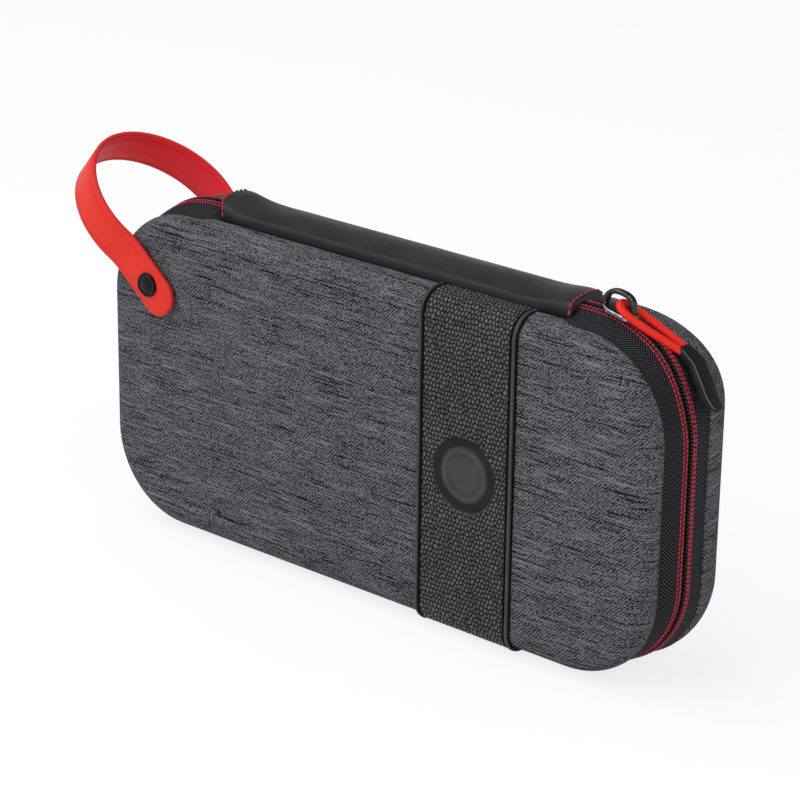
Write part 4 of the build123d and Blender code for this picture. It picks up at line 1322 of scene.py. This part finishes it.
def grip_place(a, y, b):
    """Point a along the grip, y across it and b away from the case, following its bow and its sway."""
    middle = GRIP_LENGTH / 2
    bow = 1.3 * (1 - ((a - middle) / middle) ** 2)
    sway = 1.5 * bell(a, 7.5, 4.5) - 1.2 * bell(a, 21.5, 4.5)
    spot = GRIP_AT + GRIP_ALONG * a + GRIP_OUT * (b + bow) + Vector((0, y + sway, 0))
    return spot * MM + PULL_SHIFT


def grip_half_width(a):
    """Half the grip's width: a narrow neck at the cord, full in the middle, slim at the tip."""
    return 3.3 + 0.8 * smooth(a / 7) - 0.9 * smooth((a - 17) / 10)


def make_grip():
    """Moulded tab round the cord's ends with a slanted tip."""
    places = [GRIP_LENGTH * k / GRIP_STEPS for k in range(GRIP_STEPS + 1)]
    rows = []
    for a in places:
        close = min(a, (GRIP_LENGTH - a) / 1.4, 1.0)
        slim = sqrt(max(1 - (1 - close) ** 2, 0.0)) * 0.75 + 0.25
        tip = 3.0 * smooth((a - 20) / 7)
        wide = grip_half_width(a) * slim
        ring = squared_ring(GRIP_SIDES, 0.55)
        rows.append([grip_place(a - tip * (0.5 - 0.5 * v), u * wide, v * 2.05 * slim) for u, v in ring])
    mesh = make_tube("pull_grip_body", rows, [a * MM for a in places], 0.0009)
    return add_piece(mesh, "pull", (GRIP_RUBBER,), "grip_rubber", ["pull_grip"])


def make_grip_ridge():
    """Thin raised line along the grip's near edge and round its tip, pale grey as a painted highlight on that edge."""
    edge = [mix(RIDGE_FROM, RIDGE_TO, k / 36) for k in range(37)]
    path = [(a, RIDGE_INSET - grip_half_width(a)) for a in edge]
    reach = grip_half_width(RIDGE_TO) - RIDGE_INSET
    path += [(RIDGE_TO + 1.4 * sin(pi * k / 10), -reach * cos(pi * k / 10)) for k in range(1, 9)]
    rows = []
    for k, (a, y) in enumerate(path):
        before, after = beside(path, k)
        size = hypot(after[0] - before[0], after[1] - before[1])
        side_a, side_y = (after[1] - before[1]) / size, (before[0] - after[0]) / size
        thin = 0.3 * sqrt(max(1 - (2 * k / (len(path) - 1) - 1) ** 8, 0.02))
        row = []
        for c, s in squared_ring(RIDGE_SIDES):
            row.append(grip_place(a + side_a * thin * c, y + side_y * thin * c, 1.72 + 0.8 * thin * s))
        rows.append(row)
    mesh = make_tube("pull_grip_ridge", rows, [a * MM for a, _ in path], 0.0002)
    return add_piece(mesh, "pull", (RIDGE_HIGHLIGHT_RUBBER,), "grip_rubber")


cord, cord_line = make_cord()
grip = make_grip()
ridge = make_grip_ridge()
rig.cord(
    cord,
    exit=cord_line[0],
    length=CORD_LENGTH,
    diameter=CORD_DIAMETER,
    far_end="object",
    stiffness="medium",
    lay="taut",
    path=cord_line,
    with_pieces=[grip, ridge],
)


# Carry strap
STRAP_TURN = radians(140.5)
STRAP_U = Vector((cos(STRAP_TURN), 0, sin(STRAP_TURN)))
STRAP_W = Vector((-sin(STRAP_TURN), 0, cos(STRAP_TURN)))
STRAP_HALF, STRAP_THICK, STRAP_REACH, STRAP_SAG = 8.5, 2.0, 3.6, 2.5
STRAP_MIDDLE = Vector((SNAP_X, (FRONT_FACE + REAR_FACE) / 2, SNAP_Z))
STRAP_SIDE, STRAP_TIP, STRAP_ROUND = 29.2, 14.0, 9.2
STRAP_LEG, STRAP_BOW, STRAP_BOW_TURN = 13.4, 28.3, radians(15.6)
STRAP_EDGE_LINE = ((1.0, 0.0), (1.55, 0.02), (1.75, 0.14), (1.95, 0.14), (2.15, 0.02))


def strap_line():
    """Middle line of the strap in its own plane, from the front tip round to the rear tip: (u, y)."""
    bow_u = STRAP_LEG + STRAP_BOW * sin(STRAP_BOW_TURN)
    bow_y = STRAP_SIDE + STRAP_BOW * (1 - cos(STRAP_BOW_TURN))
    loop = bow_y / cos(STRAP_BOW_TURN)
    centre = bow_u + loop * sin(STRAP_BOW_TURN)
    near = [(-STRAP_TIP + STRAP_ROUND * (1 - cos(pi / 2 * k / 14)), STRAP_SIDE) for k in range(14)]
    near += [(mix(STRAP_ROUND - STRAP_TIP, STRAP_LEG, k / 16), STRAP_SIDE) for k in range(17)]
    for turn in [STRAP_BOW_TURN * k / 6 for k in range(1, 7)]:
        near.append((STRAP_LEG + STRAP_BOW * sin(turn), STRAP_SIDE + STRAP_BOW * (1 - cos(turn))))
    start = pi / 2 + STRAP_BOW_TURN
    for turn in [start - start * k / 30 for k in range(1, 31)]:
        near.append((centre + loop * cos(turn), loop * sin(turn)))
    return [(u, -y) for u, y in near] + near[-2::-1]


def strap_section(half, thick):
    """Strap's section with rounded edges and a pressed line near each edge: (across, outward)."""
    round_off = min(0.85, half * 0.6)
    section = [(-half, 0.0), (-half + 0.12 * round_off, thick * 0.28)]
    section.append((-half + 0.5 * round_off, thick * 0.45))
    for offset, drop in STRAP_EDGE_LINE:
        section.append((-half + min(offset, half * (0.4 + offset / 6)), thick / 2 - drop))
    section.append((-half * 0.3, thick / 2))
    upper = section + [(-a, b) for a, b in reversed(section)]
    return upper + [(a, -b) for a, b in reversed(upper[1:-1])]


def make_strap():
    """Strap loop round the case's end, rounded at both tips; its turn hangs lower and further out."""
    line = strap_line()
    run = running_length([Vector((u, y, 0)) for u, y in line])
    total = run[-1]
    middles = []
    for (u, y), s in zip(line, run):
        hang = sin(pi * smooth((s / total - 0.2) / 0.6))
        moved = STRAP_U * (u + STRAP_REACH * hang) + STRAP_W * (STRAP_SAG * hang)
        middles.append(STRAP_MIDDLE + moved + Vector((0, y, 0)))
    rows = []
    for k, middle in enumerate(middles):
        before, after = beside(middles, k)
        tangent = (after - before).normalized()
        from_tip = min(run[k], total - run[k])
        half = STRAP_HALF
        if from_tip < half:
            half = sqrt(max(half**2 - (half - from_tip) ** 2, 0.09))
        thick = STRAP_THICK * (0.35 + 0.65 * smooth(from_tip / 0.9))
        out = tangent.cross(STRAP_W).normalized()
        wide = out.cross(tangent)
        rows.append([(middle + wide * a + out * b) * MM for a, b in strap_section(half, thick)])
    inside = len(rows[0]) // 2
    stations = [s * MM for s in run]
    mesh = make_sleeve("carry_strap_loop", rows, stations, finish_at=lambda i, j: int(j >= inside))
    mark_edges(mesh, 0.45)
    add_piece(mesh, "strap", (STRAP_LEATHER, STRAP_BACKING), "strap_leather", ["carry_strap"])


CAP_SIDES, CAP_BASE = 48, 3.2
CAP_FACE = [(0.05, 1.35), (1.0, 1.33), (1.9, 1.25), (2.6, 1.12), (3.1, 0.96), (3.35, 0.88)]
CAP_RIM = [(3.6, 0.92), (3.85, 1.1), (4.1, 1.2), (4.4, 1.18), (4.66, 1.02), (4.8, 0.72), (4.84, 0.3)]
CAP_BACK = [(4.8, 0.0), (4.4, -0.05), (0.05, -0.05)]


def make_cap(side, half):
    """Low snap cap with a thin turned rim."""
    base = FRONT_FACE - CAP_BASE if side < 0 else REAR_FACE + CAP_BASE
    rows, maps = [], []
    for reach, rise in CAP_FACE + CAP_RIM + CAP_BACK:
        ring = squared_ring(CAP_SIDES)
        rows.append([mm(SNAP_X + reach * u, base + side * rise, SNAP_Z + reach * v) for u, v in ring])
        maps.append([(k * MM, reach * MM) for k in range(CAP_SIDES + 1)])
    mesh = grid(f"{half}_snap_dome", rows, maps, wrap=True)
    mark_edges(mesh, 0.5)
    add_piece(mesh, "strap", (CAP_ENAMEL,), "snap_cap", [f"{half}_snap_cap"])


make_strap()
make_cap(-1, "front")
make_cap(1, "rear")


# Inside
NET_HALF, NET_LOW, NET_HIGH, NET_CORNER, NET_Y, NET_BELLY = 110.0, 12.0, 96.0, 14.0, -26.1, 0.5
NET_ROWS, NET_COLUMNS = 21, 55
HEM_HALF, HEM_STEPS, HEM_Y, HEM_Z, HEM_DEEP, HEM_TALL = 96.0, 240, -25.1, 93.0, 0.62, 2.9
BINDING_X, BINDING_LOW, BINDING_HIGH, BINDING_CORNER = 96, 26, 82, 12
BINDING_Y, BINDING_WIDE, BINDING_DEEP = -28.72, 1.95, 2.25
RIBBON_SIDES, RIBBON_SQUARE = 16, 0.5


def make_cradle():
    """Moulded cradle with its edges rounded."""
    form = bmesh.new()
    form.from_mesh(bpy.data.objects["console_tray"].data)
    bmesh.ops.remove_doubles(form, verts=form.verts, dist=0.00001)
    bmesh.ops.dissolve_limit(form, angle_limit=radians(1.0), verts=form.verts, edges=form.edges)
    mesh = close_form(form, "console_cradle", turn_out=False)
    bevel = {"width": 0.0011, "segments": 3, "limit_method": "ANGLE", "angle_limit": radians(40)}
    mesh = settle(mesh, ("BEVEL", bevel))
    add_piece(mesh, "rear_half", (CRADLE,), "lining", ["console_tray"])


def make_binding():
    """Woven binding round three sides of the pocket."""
    path = []

    def turn(x, z, start, stop, count):
        for k in range(count + 1):
            angle = radians(mix(start, stop, k / count))
            out_x, out_z = sin(angle), cos(angle)
            path.append((x + BINDING_CORNER * out_x, z + BINDING_CORNER * out_z, out_x, out_z))

    side, low, high = BINDING_X + BINDING_CORNER, BINDING_LOW, BINDING_HIGH
    turn(-BINDING_X, high, -60, -90, 4)
    path.extend((-side, mix(high, low, k / 10), -1, 0) for k in range(1, 10))
    turn(-BINDING_X, low, -90, -180, 8)
    path.extend((mix(-BINDING_X, BINDING_X, k / 24), low - BINDING_CORNER, 0, -1) for k in range(1, 24))
    turn(BINDING_X, low, 180, 90, 8)
    path.extend((side, mix(low, high, k / 10), 1, 0) for k in range(1, 10))
    turn(BINDING_X, high, 90, 60, 4)
    run = running_length([Vector((x, 0, z)) for x, z, *_ in path])
    ring = [(BINDING_WIDE * u, BINDING_DEEP * v) for u, v in squared_ring(RIBBON_SIDES, RIBBON_SQUARE)]
    rows = []
    for x, z, out_x, out_z in path:
        rows.append([mm(x + out_x * a, BINDING_Y + b, z + out_z * a) for a, b in ring])
    mesh = make_tube("pocket_binding_tape", rows, [s * MM for s in run], 0.001)
    add_piece(mesh, "front_half", (BINDING,), "binding", ["pocket_binding"])


def make_net_sheet():
    """Net stretched over the binding, with rounded corners."""
    rows, maps = [], []
    for i in range(NET_ROWS + 1):
        z = mix(NET_LOW, NET_HIGH, i / NET_ROWS)
        lift = min(z - NET_LOW, NET_HIGH - z, NET_CORNER)
        draw = NET_CORNER - sqrt(max(NET_CORNER**2 - (NET_CORNER - lift) ** 2, 0.0))
        row = []
        for j in range(NET_COLUMNS + 1):
            x = mix(draw - NET_HALF, NET_HALF - draw, j / NET_COLUMNS)
            belly = NET_BELLY * sin(pi * (z - NET_LOW) / (NET_HIGH - NET_LOW)) * (1 - (x / NET_HALF) ** 2)
            row.append(mm(x, NET_Y + belly, z))
        rows.append(row)
        maps.append([(spot.x, spot.z) for spot in row])
    mesh = grid("pocket_net_sheet", rows, maps)
    return add_piece(mesh, "front_half", (NET,), "mesh", ["mesh_pocket"])


def make_hem():
    """Gathered elastic along the pocket's mouth."""
    places = [mix(-HEM_HALF, HEM_HALF, k / HEM_STEPS) for k in range(HEM_STEPS + 1)]
    ring = [(HEM_DEEP * u, HEM_TALL * v) for u, v in squared_ring(RIBBON_SIDES, RIBBON_SQUARE)]
    rows = []
    for x in places:
        pleat = 0.22 * sin(2 * pi * x / 3.1) + 0.08 * sin(2 * pi * x / 1.27)
        rows.append([mm(x, HEM_Y + deep + 0.6 * pleat, HEM_Z + tall + 0.12 * pleat) for deep, tall in ring])
    mesh = make_tube("pocket_elastic", rows, [x * MM for x in places], 0.0009)
    return add_piece(mesh, "front_half", (ELASTIC,), "elastic_hem", ["pocket_hem"])


make_cradle()
make_binding()
net = make_net_sheet()
hem = make_hem()
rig.sheet(
    net,
    flat=(0.22, 0.084),
    held="stretched",
    rests_on=["pocket_binding_tape"],
    area=0.01831,
    with_pieces=[hem],
)

for half in ("front", "rear"):
    for part in ("socket", "stud", "backplate"):
        mesh = bpy.data.objects[f"{half}_snap_{part}"].data
        mesh.materials.clear()
        mesh.materials.append(STEEL)


# Floor, light and camera
FLOOR_HALF, FLOOR_DROP, FLOOR_WHITE = 4, 0.0005, 0.8
ROOM_LIGHT, CEILING_LIGHT = 0.5, 0.16
LIGHT_TARGET = Vector((0, 0, 0.06))
PHOTO_SIZE, SENSOR = 800, 36.0
CAMERA_AZIMUTH, CAMERA_ELEVATION, CAMERA_ROLL = radians(40.8), radians(21.2), radians(-0.78)
CAMERA_DISTANCE, CAMERA_FOCAL, CAMERA_CENTRE = 1.126, 2980.0, (394.1, 424.9)


def seen_rays(nodes):
    """1 for rays from the camera, and 1 for reflections and refractions."""
    rays = nodes.add("ShaderNodeLightPath")
    mirrored = nodes.calc("MAXIMUM", rays["Is Glossy Ray"], rays["Is Transmission Ray"])
    return rays["Is Camera Ray"], mirrored


def make_floor():
    """Pale floor that the camera sees nearly white, with the case's shadow left on it."""
    mesh = bpy.data.meshes.new("floor")
    corners = [(x * FLOOR_HALF, y * FLOOR_HALF, 0) for x, y in ((-1, -1), (1, -1), (1, 1), (-1, 1))]
    mesh.from_pydata(corners, [], [(0, 1, 2, 3)])
    floor_sheet = bpy.data.objects.new("floor", mesh)
    floor_sheet.location.z = -FLOOR_DROP
    scene.collection.objects.link(floor_sheet)
    paper = Finish("pale floor", Roughness=0.9, Specular_IOR_Level=0.1)
    paper.colour(paper.speckle(paper.place(), 30.0), (0.86, 0.86, 0.86), (0.9, 0.9, 0.9))
    white = paper.add("ShaderNodeEmission", {"Color": (1, 1, 1, 1), "Strength": 1.0})[0]
    share = paper.calc("MULTIPLY", paper.calc("MAXIMUM", *seen_rays(paper)), FLOOR_WHITE)
    both = paper.add("ShaderNodeMixShader", {0: share, 1: paper.shader.outputs[0], 2: white})[0]
    paper.tree.links.new(both, paper.tree.nodes["Material Output"].inputs["Surface"])
    mesh.materials.append(paper.made)
    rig.stage(floor_sheet)


def make_world():
    """Soft even light; the camera sees plain white, and reflections see it low round the case."""
    world = bpy.data.worlds.new("studio")
    world.use_nodes = True
    scene.world = world
    nodes = Nodes(world.node_tree)
    camera_ray, mirrored = seen_rays(nodes)
    height = nodes.split(nodes.add("ShaderNodeTexCoord")["Generated"])[2]
    ceiling = nodes.spread(height, 0.08, 0.34, 1.0 - ROOM_LIGHT, CEILING_LIGHT - ROOM_LIGHT)
    lit = nodes.calc("MULTIPLY_ADD", mirrored, ceiling, ROOM_LIGHT)
    shown = world.node_tree.nodes["Background"].inputs
    shown["Color"].default_value = (1, 1, 1, 1)
    world.node_tree.links.new(nodes.calc("MAXIMUM", camera_ray, lit), shown["Strength"])


def add_light(name, spot, size, power):
    light = bpy.data.lights.new(name, "AREA")
    light.size = size
    light.energy = power
    obj = bpy.data.objects.new(name, light)
    obj.location = spot
    obj.rotation_euler = (LIGHT_TARGET - Vector(spot)).to_track_quat("-Z", "Y").to_euler()
    scene.collection.objects.link(obj)


def make_camera():
    """Camera at the photograph's angle; its focal length and centre are in the photograph's pixels."""
    level = cos(CAMERA_ELEVATION)
    back = Vector((sin(CAMERA_AZIMUTH) * level, -cos(CAMERA_AZIMUTH) * level, sin(CAMERA_ELEVATION)))
    right = Vector((cos(CAMERA_AZIMUTH), sin(CAMERA_AZIMUTH), 0))
    up = back.cross(right)
    c, s = cos(CAMERA_ROLL), sin(CAMERA_ROLL)
    right, up = right * c - up * s, right * s + up * c
    lens = bpy.data.cameras.new("camera")
    lens.sensor_width = SENSOR
    lens.lens = CAMERA_FOCAL / PHOTO_SIZE * SENSOR
    lens.shift_x = 0.5 - CAMERA_CENTRE[0] / PHOTO_SIZE
    lens.shift_y = CAMERA_CENTRE[1] / PHOTO_SIZE - 0.5
    lens.clip_start = 0.05
    camera = bpy.data.objects.new("camera", lens)
    spot = mm(0, ZIP_Y, MIDDLE_Z) + back * CAMERA_DISTANCE
    camera.matrix_world = Matrix.Translation(spot) @ Matrix((right, up, back)).transposed().to_4x4()
    scene.collection.objects.link(camera)
    scene.camera = camera


make_floor()
make_world()
add_light("key", (-0.5, -1.3, 1.2), 1.1, 16.0)
add_light("fill", (1.3, -0.5, 0.8), 1.2, 8.0)
add_light("top", (-0.7, -0.15, 1.35), 0.9, 8.0)
make_camera()

with open("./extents.json", "w") as out:
    json.dump([[list(map(float, corner)) for corner in box] for box in (cad_box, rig.bounds())], out)
